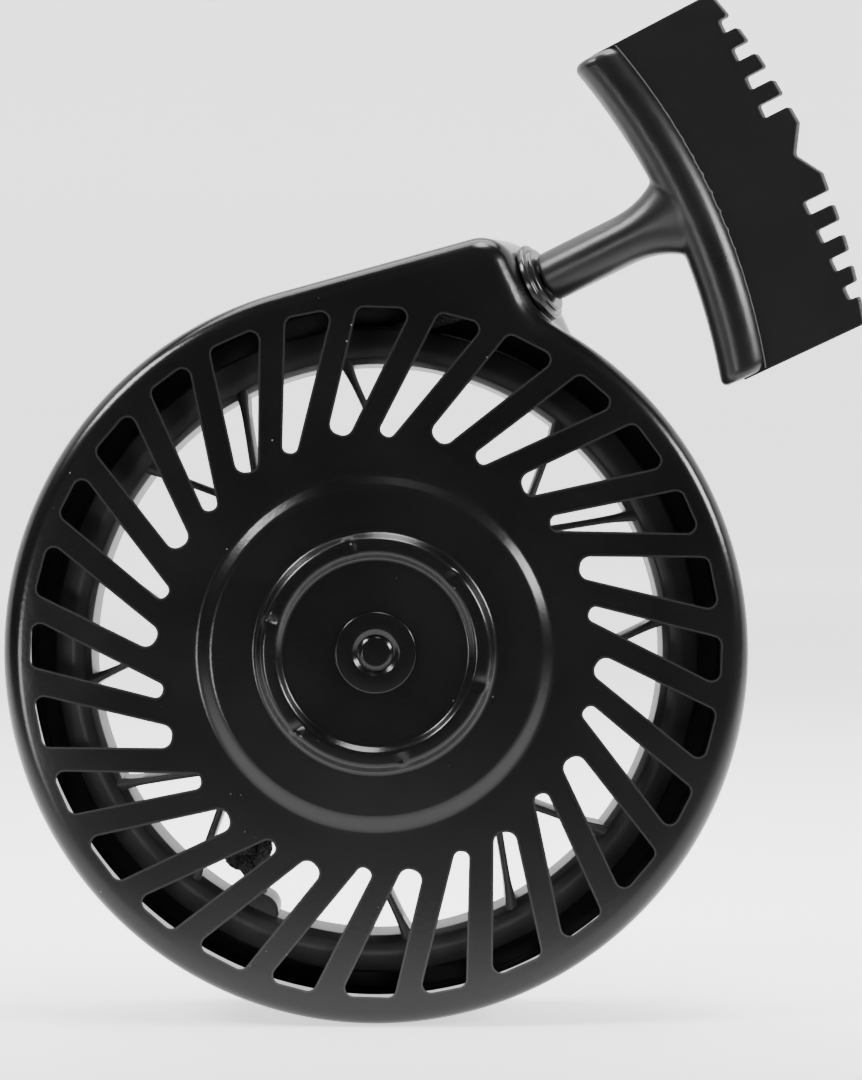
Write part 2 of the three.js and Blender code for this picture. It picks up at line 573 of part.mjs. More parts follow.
function dogSpring(turn) {
  const [x, z] = [dog.pivot + dog.eye + 1.6, 3.5];
  const low = -pulley.rear + GAP;
  return tube(1.7, 0.9, low, low + dog.thickness - 1, 14).translate([x, 0, z]).rotate([0, -turn, 0]);
}
copies.forEach((turn, i) => {
  part(`drive_dog_${i + 1}`, driveDog(turn), finishes.cast);
  part(`dog_pin_${i + 1}`, dogPin(turn), finishes.zinc);
  part(`dog_spring_${i + 1}`, dogSpring(turn), finishes.blued);
});

// Each dog's peg rides in a slot that follows it while the retainer lags behind the pulley.
function dogRetainer() {
  const low = -retainer.rear - retainer.thickness;
  const rear = -retainer.rear;
  const path = Array.from({ length: 6 }, (_, i) => {
    const share = i / 5;
    const peg = turnAbout(dogReach(dog.pegArm), [dog.pivot, 0], dog.swing * share);
    return turnAbout(peg, [0, 0], -retainer.lag * share);
  });
  const bead = ([x, z], radius, from, to) => tube(radius, 0, from, to, 10).translate([x, 0, z]);
  const chain = (radius, from, to) => joined(path.slice(1).map((spot, i) => (
    wasm.Manifold.hull([bead(path[i], radius, from, to), bead(spot, radius, from, to)])
  )));
  const middle = path[3];
  const ear = chain(retainer.ear, low, rear).add(wasm.Manifold.hull([
    bead([middle[0] * 0.35, middle[1] * 0.35], 9, low, rear), bead([middle[0] * 0.95, middle[1] * 0.95], 5, low, rear),
  ]));
  const slot = chain(dog.peg + 0.6, low - 1, rear + 1);
  const disc = tube(retainer.disc, 0, low, rear, 40);
  const bothWays = (body) => copies.map((turn) => body.rotate([0, -turn, 0]));
  const bore = tube(stepRadius + GAP, 0, low - 1, rear + 1, 28);
  return cut(joined([disc, ...bothWays(ear)]), [...bothWays(slot), bore]);
}
part('dog_retainer', dogRetainer(), finishes.zinc);

const washerLow = stepRear + GAP;
const washerHigh = washerLow + retainer.washerHeight;
part('thrust_washer', tube(boss - 1, stepRadius + GAP, bossRear + 0.1, bossRear + 0.7, 24), finishes.zinc);
part('friction_spring', turned([
  [stepRadius + 0.6, stepRear - 0.7], [stepRadius + 0.6, stepRear - 0.1],
  [retainer.disc - 3, -retainer.rear + GAP + 0.6], [retainer.disc - 3, -retainer.rear + GAP],
], 24), finishes.blued);
part('retainer_washer', tube(retainer.washer, screw.radius + GAP, washerLow, washerHigh, 24), finishes.zinc);

function retainerScrew() {
  const low = washerHigh + GAP;
  const top = low + screw.headHeight;
  const shank = turned([
    [0, low - screw.length], [screw.radius, low - screw.length], [screw.radius, low], [screw.head, low],
    [screw.head, top - 0.8], [screw.head - 0.8, top], [0, top],
  ], 24);
  return shank.subtract(tube(screw.socket / Math.cos(30 * DEG), 0, top - screw.socketDepth, top + 1, 6));
}
part('retainer_screw', retainerScrew(), finishes.zinc);

// ---------------------------------------------------------------- pull handle
// Lengths below are along the rope's line from the grommet's seat on the spout wall.
const stemFoot = lipTop + handle.seat;
const bowAt = (height, offset) => height - (handle.bow - Math.sqrt(handle.bow ** 2 - offset ** 2));
const toHandle = (body) => body.transform(exitFrame.elements.slice());

function handlePlate() {
  const edge = (height, from, to, steps) => Array.from({ length: steps + 1 }, (_, i) => {
    const offset = from + ((to - from) * i) / steps;
    return [bowAt(height, offset), offset];
  });
  const teeth = [];
  const halfNotch = handle.notchWidth / 2;
  const side = (sign) => Array.from({ length: handle.notches }, (_, i) => sign * (handle.firstNotch + handle.notchPitch * i));
  const notch = (middle) => [
    [bowAt(handle.tip, middle - halfNotch), middle - halfNotch], [handle.notchFloor, middle - halfNotch],
    [handle.notchFloor, middle + halfNotch], [bowAt(handle.tip, middle + halfNotch), middle + halfNotch],
  ];
  side(-1).reverse().forEach((middle) => teeth.push(...notch(middle)));
  teeth.push([handle.tip, -handle.vee], [handle.tip - handle.veeDepth, 0], [handle.tip, handle.vee]);
  side(1).forEach((middle) => teeth.push(...notch(middle)));
  const outer = [[bowAt(handle.tip, handle.plateHalf), -handle.plateHalf], ...teeth,
    [bowAt(handle.tip, handle.plateHalf), handle.plateHalf]];
  const shape = new THREE.Shape([...outer, ...edge(handle.barCentre, handle.plateHalf, -handle.plateHalf, 12)]
    .map(([x, y]) => new THREE.Vector2(x, y)));
  const geometry = new THREE.ExtrudeGeometry(shape, { depth: handle.plateThickness, bevelEnabled: false });
  return solid(geometry.translate(0, 0, -handle.plateThickness / 2));
}

function handleBar() {
  const ends = Array.from({ length: 13 }, (_, i) => {
    const offset = handle.halfLength * (i / 6 - 1);
    return new THREE.Vector3(bowAt(handle.barCentre, offset), offset, 0);
  });
  const section = new THREE.Shape();
  section.absarc(0, 0, handle.barRadius, 0, 2 * Math.PI);
  return solid(new THREE.ExtrudeGeometry(section, {
    steps: 14, curveSegments: 16, bevelEnabled: false, extrudePath: new THREE.CatmullRomCurve3(ends),
  }));
}

function handleStem() {
  const flareStart = handle.barCentre - handle.barRadius - handle.flareLength + 4;
  const flare = Array.from({ length: 6 }, (_, i) => {
    const share = i / 5;
    return [handle.stem + (handle.flare - handle.stem) * share ** 2.4, flareStart + handle.flareLength * share];
  });
  const stem = turnedGeometry([
    [0, stemFoot], [handle.stem - 0.8, stemFoot], [handle.stem, stemFoot + 0.8], ...flare,
    [handle.flare, handle.barCentre], [0, handle.barCentre],
  ], 28).rotateZ(-Math.PI / 2);
  const limit = new THREE.BoxGeometry(200, 60, 2 * (handle.barRadius - 0.3));
  return solid(stem).intersect(solid(limit));
}

function pullHandle() {
  const pocketLength = handle.washer + 2 * handle.knot + 1.8;
  const pocketEnd = handle.pocketStart + pocketLength;
  const half = handle.knot + GAP + 0.2;
  const bore = turnedGeometry([
    [0, -5], [rope.radius + 0.5, -5], [rope.radius + 0.5, handle.pocketStart + 1], [0, handle.pocketStart + 1],
  ], 16).rotateZ(-Math.PI / 2);
  const round = turnedGeometry([
    [0, handle.pocketStart], [half, handle.pocketStart], [half, pocketEnd], [0, pocketEnd],
  ], 20).rotateZ(-Math.PI / 2);
  const opening = new THREE.BoxGeometry(pocketLength, 2 * half, 12);
  opening.translate(handle.pocketStart + pocketLength / 2, 0, -6);
  const blank = joined([handlePlate(), handleBar(), handleStem()]);
  return toHandle(cut(blank, [solid(bore), solid(round), solid(opening)]));
}
part('pull_handle', pullHandle(), finishes.grip);

const washerFoot = handle.pocketStart + GAP;
const knotFoot = washerFoot + handle.washer + GAP;
part('handle_rope', onRope([
  [0, ropeEnd + GAP], [rope.radius, ropeEnd + GAP], [rope.radius, knotFoot - GAP], [0, knotFoot - GAP],
], 14), finishes.braid);
part('anchor_washer', onRope([
  [rope.radius + GAP, washerFoot], [handle.knot, washerFoot],
  [handle.knot, washerFoot + handle.washer], [rope.radius + GAP, washerFoot + handle.washer],
], 24), finishes.zinc);
part('handle_knot', onRope(Array.from({ length: 9 }, (_, i) => {
  const angle = Math.PI * (i / 8);
  return [Math.max(handle.knot * Math.sin(angle), 0), knotFoot + handle.knot * (1 - Math.cos(angle))];
}), 16), finishes.braid);

export default assembly;
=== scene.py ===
"""A recoil starter for a small engine: vented steel cup, spoked rope pulley and wide pull handle.

Sizes are in millimetres in the frame of the CAD model: +X right, +Z up, +Y towards the engine,
with the origin on the pulley axis in the plane of the housing's rear rim. Meshes are made in metres.
"""
import logging
import math
from dataclasses import dataclass, field
from enum import Enum
from typing import Iterable, Sequence

import bmesh
import bpy
import numpy as np
from mathutils import Matrix, Vector
from mathutils.geometry import delaunay_2d_cdt


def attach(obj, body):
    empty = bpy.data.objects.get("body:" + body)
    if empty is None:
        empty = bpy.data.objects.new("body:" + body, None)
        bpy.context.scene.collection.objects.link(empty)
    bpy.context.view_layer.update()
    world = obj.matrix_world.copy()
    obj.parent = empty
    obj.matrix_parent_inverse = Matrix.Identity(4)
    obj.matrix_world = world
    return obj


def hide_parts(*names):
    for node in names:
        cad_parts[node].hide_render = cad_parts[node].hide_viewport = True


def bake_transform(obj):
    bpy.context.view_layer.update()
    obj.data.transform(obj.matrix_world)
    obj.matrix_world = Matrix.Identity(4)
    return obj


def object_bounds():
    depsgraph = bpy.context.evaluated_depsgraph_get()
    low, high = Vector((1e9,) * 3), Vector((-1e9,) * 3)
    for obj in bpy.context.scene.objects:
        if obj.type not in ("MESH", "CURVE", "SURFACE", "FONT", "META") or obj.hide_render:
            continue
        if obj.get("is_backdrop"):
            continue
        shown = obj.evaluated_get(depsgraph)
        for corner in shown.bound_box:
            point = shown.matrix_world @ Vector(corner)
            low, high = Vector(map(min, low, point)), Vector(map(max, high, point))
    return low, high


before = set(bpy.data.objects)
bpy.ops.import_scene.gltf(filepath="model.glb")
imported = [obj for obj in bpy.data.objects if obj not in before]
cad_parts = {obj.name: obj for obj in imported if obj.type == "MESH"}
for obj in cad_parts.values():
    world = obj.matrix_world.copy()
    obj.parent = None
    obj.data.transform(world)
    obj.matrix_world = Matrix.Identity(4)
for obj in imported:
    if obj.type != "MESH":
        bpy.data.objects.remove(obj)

log = logging.getLogger("recoil_starter")
MM = 0.001
GAP = 0.3
Point = Sequence[float]


# ---------------------------------------------------------------- shader tools
class Field:
    """A number socket in a shader, so that maths on it reads as Python."""

    def __init__(self, tree: "Shader", socket: bpy.types.NodeSocket) -> None:
        """Wraps one output socket of a node in the tree."""
        self.tree, self.socket = tree, socket

    def _maths(self, operation: str, *values: "Field | float") -> "Field":
        """Adds a Math node.

        Args:
            operation: the node's operation.
            values: its inputs, numbers or fields, in order.
        Returns:
            The node's result.
        """
        node = self.tree.node("ShaderNodeMath", {"operation": operation}, dict(enumerate(values)))
        return Field(self.tree, node.outputs[0])

    def __add__(self, other: "Field | float") -> "Field":
        """The sum."""
        return self._maths("ADD", self, other)

    def __sub__(self, other: "Field | float") -> "Field":
        """The difference."""
        return self._maths("SUBTRACT", self, other)

    def __rsub__(self, other: float) -> "Field":
        """A number minus the field."""
        return self._maths("SUBTRACT", other, self)

    def __mul__(self, other: "Field | float") -> "Field":
        """The product."""
        return self._maths("MULTIPLY", self, other)

    __radd__ = __add__
    __rmul__ = __mul__

    def step(self, low: float, high: float) -> "Field":
        """A smooth step.

        Args:
            low: where the result is 0.
            high: where the result is 1; it may be under `low` for a falling step.
        Returns:
            A field from 0 to 1.
        """
        settings = {"interpolation_type": "SMOOTHSTEP", "clamp": True}
        node = self.tree.node("ShaderNodeMapRange", settings, {0: self, 1: low, 2: high, 3: 0.0, 4: 1.0})
        return Field(self.tree, node.outputs[0])


class Shader:
    """A material's node tree with one Principled shader."""

    def __init__(self, name: str) -> None:
        """Makes the material and its object coordinates."""
        self.material = bpy.data.materials.new(name)
        self.material.use_nodes = True
        self.nodes, self.links = self.material.node_tree.nodes, self.material.node_tree.links
        self.bsdf = self.nodes["Principled BSDF"]
        self.place = self.node("ShaderNodeTexCoord").outputs["Object"]

    def node(self, kind: str, settings: dict | None = None, inputs: dict | None = None) -> bpy.types.Node:
        """Adds any node.

        Args:
            kind: the node's type.
            settings: its properties, set first.
            inputs: values, fields or sockets by input name or number.
        Returns:
            The new node.
        """
        made = self.nodes.new(kind)
        for key, value in (settings or {}).items():
            setattr(made, key, value)
        for key, value in (inputs or {}).items():
            self.feed(made.inputs[key], value)
        return made

    def feed(self, target: bpy.types.NodeSocket, value: object) -> None:
        """Sets or links one input socket."""
        if isinstance(value, Field):
            value = value.socket
        if isinstance(value, bpy.types.NodeSocket):
            self.links.new(value, target)
        else:
            target.default_value = value

    def stretched(self, scale: Point, turn: Point = (0, 0, 0)) -> bpy.types.NodeSocket:
        """Object coordinates stretched and turned, for grain that runs one way."""
        return self.node("ShaderNodeMapping", {}, {"Vector": self.place, "Scale": scale,
                                                   "Rotation": turn}).outputs[0]

    def noise(self, size: float, detail: float = 3, rough: float = 0.5, at: object = None) -> Field:
        """Fractal noise.

        Args:
            size: the size of its largest features, in millimetres.
            detail: how many octaves it has.
            rough: how strong the finer octaves are.
            at: coordinates other than the object's.
        Returns:
            A field around 0.5.
        """
        inputs = {"Vector": at or self.place, "Scale": 1 / (size * MM), "Detail": detail, "Roughness": rough}
        return Field(self, self.node("ShaderNodeTexNoise", {}, inputs).outputs["Fac"])

    def cells(self, size: float, feature: str = "F1") -> Field:
        """Distance in a cell pattern with cells of `size` millimetres."""
        inputs = {"Vector": self.place, "Scale": 1 / (size * MM)}
        return Field(self, self.node("ShaderNodeTexVoronoi", {"feature": feature},
                                     inputs).outputs["Distance"])

    def edges(self, reach: float) -> Field:
        """1 along outside edges and 0 elsewhere, from how far a bevelled normal turns away."""
        bevel = self.node("ShaderNodeBevel", {"samples": 4}, {"Radius": reach * MM})
        normal = self.node("ShaderNodeNewGeometry").outputs["Normal"]
        dot = self.node("ShaderNodeVectorMath", {"operation": "DOT_PRODUCT"},
                        {0: bevel.outputs[0], 1: normal})
        return Field(self, dot.outputs["Value"]).step(0.985, 0.8)

    def mix(self, factor: Field, first: object, second: object) -> bpy.types.NodeSocket:
        """A colour between two others, by a field."""
        node = self.node("ShaderNodeMix", {"data_type": "RGBA"}, {0: factor})
        self.feed(node.inputs[6], first)
        self.feed(node.inputs[7], second)
        return node.outputs[2]

    def bump(self, height: Field, depth: float, strength: float = 1.0) -> None:
        """Gives the surface a relief of `depth` millimetres, over any that it has."""
        node = self.node("ShaderNodeBump", {}, {"Strength": strength, "Distance": depth * MM,
                                                "Height": height})
        before = self.bsdf.inputs["Normal"].links
        if before:
            self.links.new(before[0].from_socket, node.inputs["Normal"])
        self.links.new(node.outputs[0], self.bsdf.inputs["Normal"])


def grey(level: float, warm: float = 0.0) -> tuple[float, float, float, float]:
    """A grey with a little warmth (or coolness, if negative), as a colour."""
    return (level * (1 + warm), level, level * (1 - warm), 1.0)


@dataclass(frozen=True)
class Finish:
    """What every surface has: a base colour, a gloss and how it shades."""

    name: str
    base: float = 0.02
    warm: float = 0.0
    rough: float = 0.4
    metallic: float = 0.0
    specular: float = 0.5

    def material(self) -> bpy.types.Material:
        """Makes the finish, or returns it if it is there already."""
        if self.name in bpy.data.materials:
            return bpy.data.materials[self.name]
        shader = Shader(self.name)
        shader.bsdf.inputs["Metallic"].default_value = self.metallic
        shader.bsdf.inputs["Specular IOR Level"].default_value = self.specular
        self.dress(shader)
        return shader.material

    def dress(self, s: Shader) -> None:
        """Adds the pattern of the surface; each finish has its own."""
        s.feed(s.bsdf.inputs["Base Color"], grey(self.base, self.warm))
        s.feed(s.bsdf.inputs["Roughness"], self.rough)


@dataclass(frozen=True)
class PowderCoat(Finish):
    """Black powder coat on pressed steel: orange peel, haze, a little dust, thinner on edges."""

    peel: float = 1.3
    dust: float = 0.0035

    def dress(self, s: Shader) -> None:
        """Paints the coat."""
        haze, peel = s.noise(38, 4), s.noise(self.peel, 2)
        specks = s.cells(5.5).step(0.055, 0.03) * s.noise(21, 2).step(0.5, 0.62)
        fine = s.noise(0.35, 2)
        colour = s.mix(haze.step(0.35, 0.7), grey(self.base), grey(self.base * 1.6, -0.02))
        worn = s.mix(s.edges(0.5) * 0.35, colour, grey(0.05, -0.03))
        s.feed(s.bsdf.inputs["Base Color"], s.mix(specks, worn, grey(0.16)))
        rough = self.rough + (haze - 0.5) * 0.16 + (fine - 0.5) * 0.07 + specks * 0.3
        s.feed(s.bsdf.inputs["Roughness"], rough)
        s.bump(peel, 0.022)
        s.bump(fine + specks * 2, self.dust * 2)


@dataclass(frozen=True)
class Moulding(Finish):
    """A moulded black plastic with a spark grain, flow marks and rubbed edges."""

    grain: float = 0.45
    depth: float = 0.03
    sheen: float = 0.12

    def dress(self, s: Shader) -> None:
        """Paints the moulding."""
        flow = s.noise(24, 4, 0.6, s.stretched((1, 0.5, 1)))
        grain = s.noise(self.grain, 4, 0.65)
        scuff = s.noise(7, 6, 0.7, s.stretched((3, 1, 0.6), (0.3, 0.9, 0.2))).step(0.6, 0.78)
        rubbed = s.edges(0.6) * 0.5 + scuff * 0.18
        deep = s.mix(flow.step(0.3, 0.75), grey(self.base, 0.01), grey(self.base * 1.55))
        s.feed(s.bsdf.inputs["Base Color"], s.mix(rubbed, deep, grey(self.base * 3.4)))
        rough = self.rough + (flow - 0.5) * self.sheen + (grain - 0.5) * 0.18 - rubbed * 0.08
        s.feed(s.bsdf.inputs["Roughness"], rough)
        s.bump(grain, self.depth)
        s.bump(flow, 0.12)


@dataclass(frozen=True)
class Braid(Finish):
    """Black polyester yarn: fine fibres along the strands with a few pale flecks."""

    def dress(self, s: Shader) -> None:
        """Paints the yarn."""
        fibre, fleck = s.noise(0.22, 3), s.cells(0.9).step(0.16, 0.08)
        tone = s.mix(s.noise(2.4, 3).step(0.35, 0.7), grey(self.base), grey(self.base * 2.2))
        s.feed(s.bsdf.inputs["Base Color"], s.mix(fleck * 0.55, tone, grey(0.3)))
        s.feed(s.bsdf.inputs["Roughness"], self.rough + (fibre - 0.5) * 0.2)
        s.bump(fibre, 0.08)


@dataclass(frozen=True)
class Plating(Finish):
    """Zinc plating or bare steel with fine spangle, handling marks and a tint in cloudy patches."""

    tint: tuple[float, float, float, float] = (0.5, 0.47, 0.4, 1.0)
    brush: float = 0.0

    def dress(self, s: Shader) -> None:
        """Paints the metal."""
        cloud, fine = s.noise(9, 4), s.noise(0.5, 3)
        lines = s.noise(0.6, 2, 0.5, s.stretched((1, 14, 1)))
        colour = s.mix(cloud.step(0.35, 0.7), grey(self.base, self.warm), self.tint)
        s.feed(s.bsdf.inputs["Base Color"], s.mix(s.edges(0.4) * 0.5, colour,
                                                  grey(min(self.base * 1.5, 0.85))))
        rough = self.rough + (cloud - 0.5) * 0.2 + (fine - 0.5) * 0.1 + (lines - 0.5) * self.brush
        s.feed(s.bsdf.inputs["Roughness"], rough)
        s.bump(fine + lines * self.brush, 0.012)


class Finishes(Enum):
    """Every finish on the starter, by what wears it."""

    COAT = PowderCoat("black_powder_coat", base=0.0025, rough=0.2, specular=0.34)
    NYLON = Moulding("black_nylon", base=0.018, specular=0.3, rough=0.42, grain=0.7, depth=0.03)
    RUBBER = Moulding("glossy_grommet", base=0.006, rough=0.2, grain=1.1, depth=0.014, sheen=0.06)
    GRIP_PLATE = Moulding("grained_plate", base=0.0035, specular=0.16, rough=0.55, grain=0.4, depth=0.07,
                          sheen=0.07)
    GRIP_BAR = Moulding("satin_grip", base=0.004, specular=0.4, rough=0.32, grain=0.5, depth=0.03, sheen=0.14)
    # The flash ridge is real, but its pale base is a painted highlight: a lighter grey that paints the bright
    # line along the bar's seam.
    FLASH = Moulding("flash_painted_highlight", base=0.05, rough=0.5, grain=0.5, depth=0.02)
    YARN = Braid("black_yarn", base=0.014, rough=0.8)
    ZINC = Plating("zinc_plate", base=0.55, warm=0.02, rough=0.33, metallic=1.0, brush=0.15)
    SPRING = Plating("spring_steel", base=0.17, warm=-0.08, rough=0.34, metallic=1.0,
                     tint=(0.1, 0.13, 0.2, 1))
    SINTER = Plating("sintered_steel", base=0.26, rough=0.5, metallic=1.0, tint=(0.2, 0.19, 0.18, 1))


# ---------------------------------------------------------------- mesh tools
class Skin:
    """Points and faces gathered in millimetres, then made one mesh object."""

    def __init__(self) -> None:
        """Starts with nothing."""
        self.points: list[Point] = []
        self.faces: list[tuple[int, ...]] = []
        self.slots: list[int] = []

    def ring(self, points: Iterable[Point]) -> list[int]:
        """Adds points and returns their numbers."""
        start = len(self.points)
        self.points.extend(tuple(point) for point in points)
        return list(range(start, len(self.points)))

    def face(self, corners: Sequence[int], slot: int = 0) -> None:
        """Adds one face."""
        self.faces.append(tuple(corners))
        self.slots.append(slot)

    def bridge(self, first: Sequence[int], second: Sequence[int], slot: int = 0, closed: bool = True) -> None:
        """Joins two rings of equal length with quads.

        Args:
            first: one ring.
            second: the next one.
            slot: the material slot of the quads.
            closed: whether the last point joins the first.
        """
        count = len(first)
        for i in range(count if closed else count - 1):
            j = (i + 1) % count
            self.face((first[i], first[j], second[j], second[i]), slot)

    def tube(self, rings: Sequence[Sequence[int]], slot: int = 0) -> None:
        """Joins each ring to the next."""
        for first, second in zip(rings, rings[1:]):
            self.bridge(first, second, slot)

    def fan(self, ring: Sequence[int], centre: Point, slot: int = 0) -> None:
        """Closes a ring to a point."""
        middle = self.ring([centre])[0]
        for i, corner in enumerate(ring):
            self.face((corner, ring[(i + 1) % len(ring)], middle), slot)

    def build(self, name: str, materials: Sequence[Finishes], smooth: float = 32,
              weld: float = 1e-4) -> bpy.types.Object:
        """Makes the object, with its doubles merged and its faces pointing out.

        Args:
            name: the object's name.
            materials: the finish of each slot.
            smooth: the angle in degrees past which an edge stays sharp.
            weld: points this near each other, in millimetres, are merged.
        Returns:
            The object, linked to the scene.
        """
        mesh = bpy.data.meshes.new(name)
        mesh.from_pydata([[value * MM for value in point] for point in self.points], [], self.faces)
        mesh.polygons.foreach_set("material_index", self.slots)
        bm = bmesh.new()
        bm.from_mesh(mesh)
        bmesh.ops.remove_doubles(bm, verts=bm.verts, dist=weld * MM)
        bmesh.ops.dissolve_degenerate(bm, edges=bm.edges, dist=1e-8)
        bmesh.ops.recalc_face_normals(bm, faces=bm.faces)
        bm.to_mesh(mesh)
        bm.free()
        return linked(name, mesh, materials, smooth)


def linked(name: str, mesh: bpy.types.Mesh, materials: Sequence[Finishes],
           smooth: float = 32) -> bpy.types.Object:
    """Links a mesh to the scene as an object with its finishes and its soft and sharp edges."""
    mesh.name = name
    mesh.materials.clear()
    for finish in materials:
        mesh.materials.append(finish.value.material())
    mesh.polygons.foreach_set("use_smooth", [True] * len(mesh.polygons))
    mesh.set_sharp_from_angle(angle=math.radians(smooth))
    made = bpy.data.objects.new(name, mesh)
    bpy.context.scene.collection.objects.link(made)
    return made


def evaluated(source: bpy.types.Object) -> bpy.types.Mesh:
    """The mesh of an object with its modifiers applied; the object itself goes."""
    graph = bpy.context.evaluated_depsgraph_get()
    graph.update()
    mesh = bpy.data.meshes.new_from_object(source.evaluated_get(graph), depsgraph=graph)
    bpy.data.objects.remove(source)
    return mesh


def polar(radius: float, degrees: float) -> tuple[float, float]:
    """X and Z of a point by radius and angle, anticlockwise from +X as seen from the front."""
    return radius * math.cos(math.radians(degrees)), radius * math.sin(math.radians(degrees))


def rounded(corners: Sequence[Point], closed: bool = True, steps: int = 6) -> list[tuple[float, float]]:
    """An outline of [x, y, radius] corners with arcs for the corners that have a radius.

    Args:
        corners: the corners; the radius may be left out.
        closed: whether it is a loop, so that the ends are rounded too.
        steps: how many pieces each arc has.
    Returns:
        The outline's points.
    """
    out: list[tuple[float, float]] = []
    count = len(corners)
    for i, corner in enumerate(corners):
        here = Vector(corner[:2])
        radius = corner[2] if len(corner) > 2 else 0
        if radius == 0 or (not closed and i in (0, count - 1)):
            out.append(tuple(here))
            continue
        before = Vector(corners[i - 1][:2]) - here
        after = Vector(corners[(i + 1) % count][:2]) - here
        half = before.angle(after) / 2
        trim = min(radius / math.tan(half), 0.499 * min(before.length, after.length))
        centre = here + (before.normalized() + after.normalized()).normalized() * (trim / math.cos(half))
        start, end = here + before.normalized() * trim - centre, here + after.normalized() * trim - centre
        turn = start.angle_signed(end) * -1
        for k in range(steps + 1):
            spoke = start.copy()
            spoke.rotate(Matrix.Rotation(turn * k / steps, 2))
            out.append(tuple(centre + spoke))
    return out


def grown(outline: Sequence[Point], by: float) -> list[tuple[float, float]]:
    """An outline moved along its own normals.

    Args:
        outline: its points; an anticlockwise one grows outwards.
        by: how far, in millimetres.
    Returns:
        As many points, in the same order.
    """
    points, out = [Vector(point[:2]) for point in outline], []
    for i, point in enumerate(points):
        way = (points[(i + 1) % len(points)] - point).normalized() + (point - points[i - 1]).normalized()
        normal = Vector((way.y, -way.x)).normalized()
        out.append(tuple(point + normal * by))
    return out


def enclosed(points: np.ndarray, loop: np.ndarray) -> np.ndarray:
    """Whether each point lies inside a loop.

    Args:
        points: X and Z of the points, one row each.
        loop: the loop's corners in order.
    Returns:
        A true or false for each point.
    """
    ahead = np.roll(loop, -1, axis=0)
    x, z = points[:, 0, None], points[:, 1, None]
    spans = (loop[:, 1] > z) != (ahead[:, 1] > z)
    rise = np.where(ahead[:, 1] == loop[:, 1], 1, ahead[:, 1] - loop[:, 1])
    crossing = loop[:, 0] + (z - loop[:, 1]) * (ahead[:, 0] - loop[:, 0]) / rise
    return (spans & (x < crossing)).sum(axis=1) % 2 == 1


def turned(skin: Skin, profile: Sequence[Point], segments: int = 96, slot: int = 0,
           closed: bool = True) -> list[list[int]]:
    """Adds a body turned about the Y axis.

    Args:
        skin: where it is added.
        profile: [radius, y] points; points on the axis close the body there.
        segments: how many faces go round.
        slot: its material slot.
        closed: whether the profile is a loop.
    Returns:
        The rings of the profile's points.
    """
    rings = []
    for radius, y in profile:
        spokes = [polar(max(radius, 1e-6), 360 * i / segments) for i in range(segments)]
        rings.append(skin.ring((x, y, z) for x, z in spokes))
    skin.tube(rings + rings[:1] if closed else rings, slot)
    return rings


def turned_piece(name: str, corners: Sequence[Point], finish: Finishes, segments: int = 96,
                 steps: int = 4) -> bpy.types.Object:
    """A piece turned about Y from [radius, y, rounding] corners."""
    skin = Skin()
    turned(skin, rounded(corners, steps=steps), segments)
    return skin.build(name, [finish])


def dressed(piece: bpy.types.Object, body: str, slot: str, *nodes: str) -> bpy.types.Object:
    """Rides a piece on a body, hides the CAD nodes that it stands for, and reports it."""
    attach(piece, body)
    if nodes:
        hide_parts(*nodes)
    log.info("%s rides %s, %d faces", piece.name, body, len(piece.data.polygons))
    return piece


def drilled(piece: bpy.types.Object, cutters: Sequence[bpy.types.Object],
            materials: Sequence[Finishes]) -> bpy.types.Object:
    """Cuts a piece by closed cutters, which go.

    Args:
        piece: what is cut; it is replaced.
        cutters: closed meshes, one for each hole.
        materials: the finishes of the result.
    Returns:
        The cut piece under the same name.
    """
    name = piece.name
    for cutter in cutters:
        cut = piece.modifiers.new("cut", "BOOLEAN")
        cut.operation, cut.solver, cut.object = "DIFFERENCE", "EXACT", cutter
    mesh = evaluated(piece)
    for cutter in cutters:
        bpy.data.objects.remove(cutter)
    return linked(name, mesh, materials)


def softened(node: str, finish: Finishes, width: float = 0.25) -> bpy.types.Object:
    """A copy of a CAD node with its doubles merged and its hard edges rounded.

    Args:
        node: the CAD node.
        finish: what it wears.
        width: the rounding in millimetres.
    Returns:
        The new piece, not yet on a body.
    """
    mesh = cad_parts[node].data.copy()
    bm = bmesh.new()
    bm.from_mesh(mesh)
    bmesh.ops.remove_doubles(bm, verts=bm.verts, dist=1e-6)
    bmesh.ops.dissolve_limit(bm, angle_limit=math.radians(1), verts=bm.verts, edges=bm.edges)
    bm.to_mesh(mesh)
    bm.free()
    rough = linked(f"{node}_rough", mesh, [finish])
    bevel = rough.modifiers.new("edge", "BEVEL")
    bevel.width, bevel.segments, bevel.angle_limit = width * MM, 3, math.radians(35)
    return linked(f"{node}_piece", evaluated(rough), [finish], 40)


# ---------------------------------------------------------------- pressed steel housing
@dataclass(frozen=True)
class Slot:
    """One of the two shapes of cooling slot."""

    start: float
    sweep: float
    inner: float
    inner_width: float
    outer_width: float


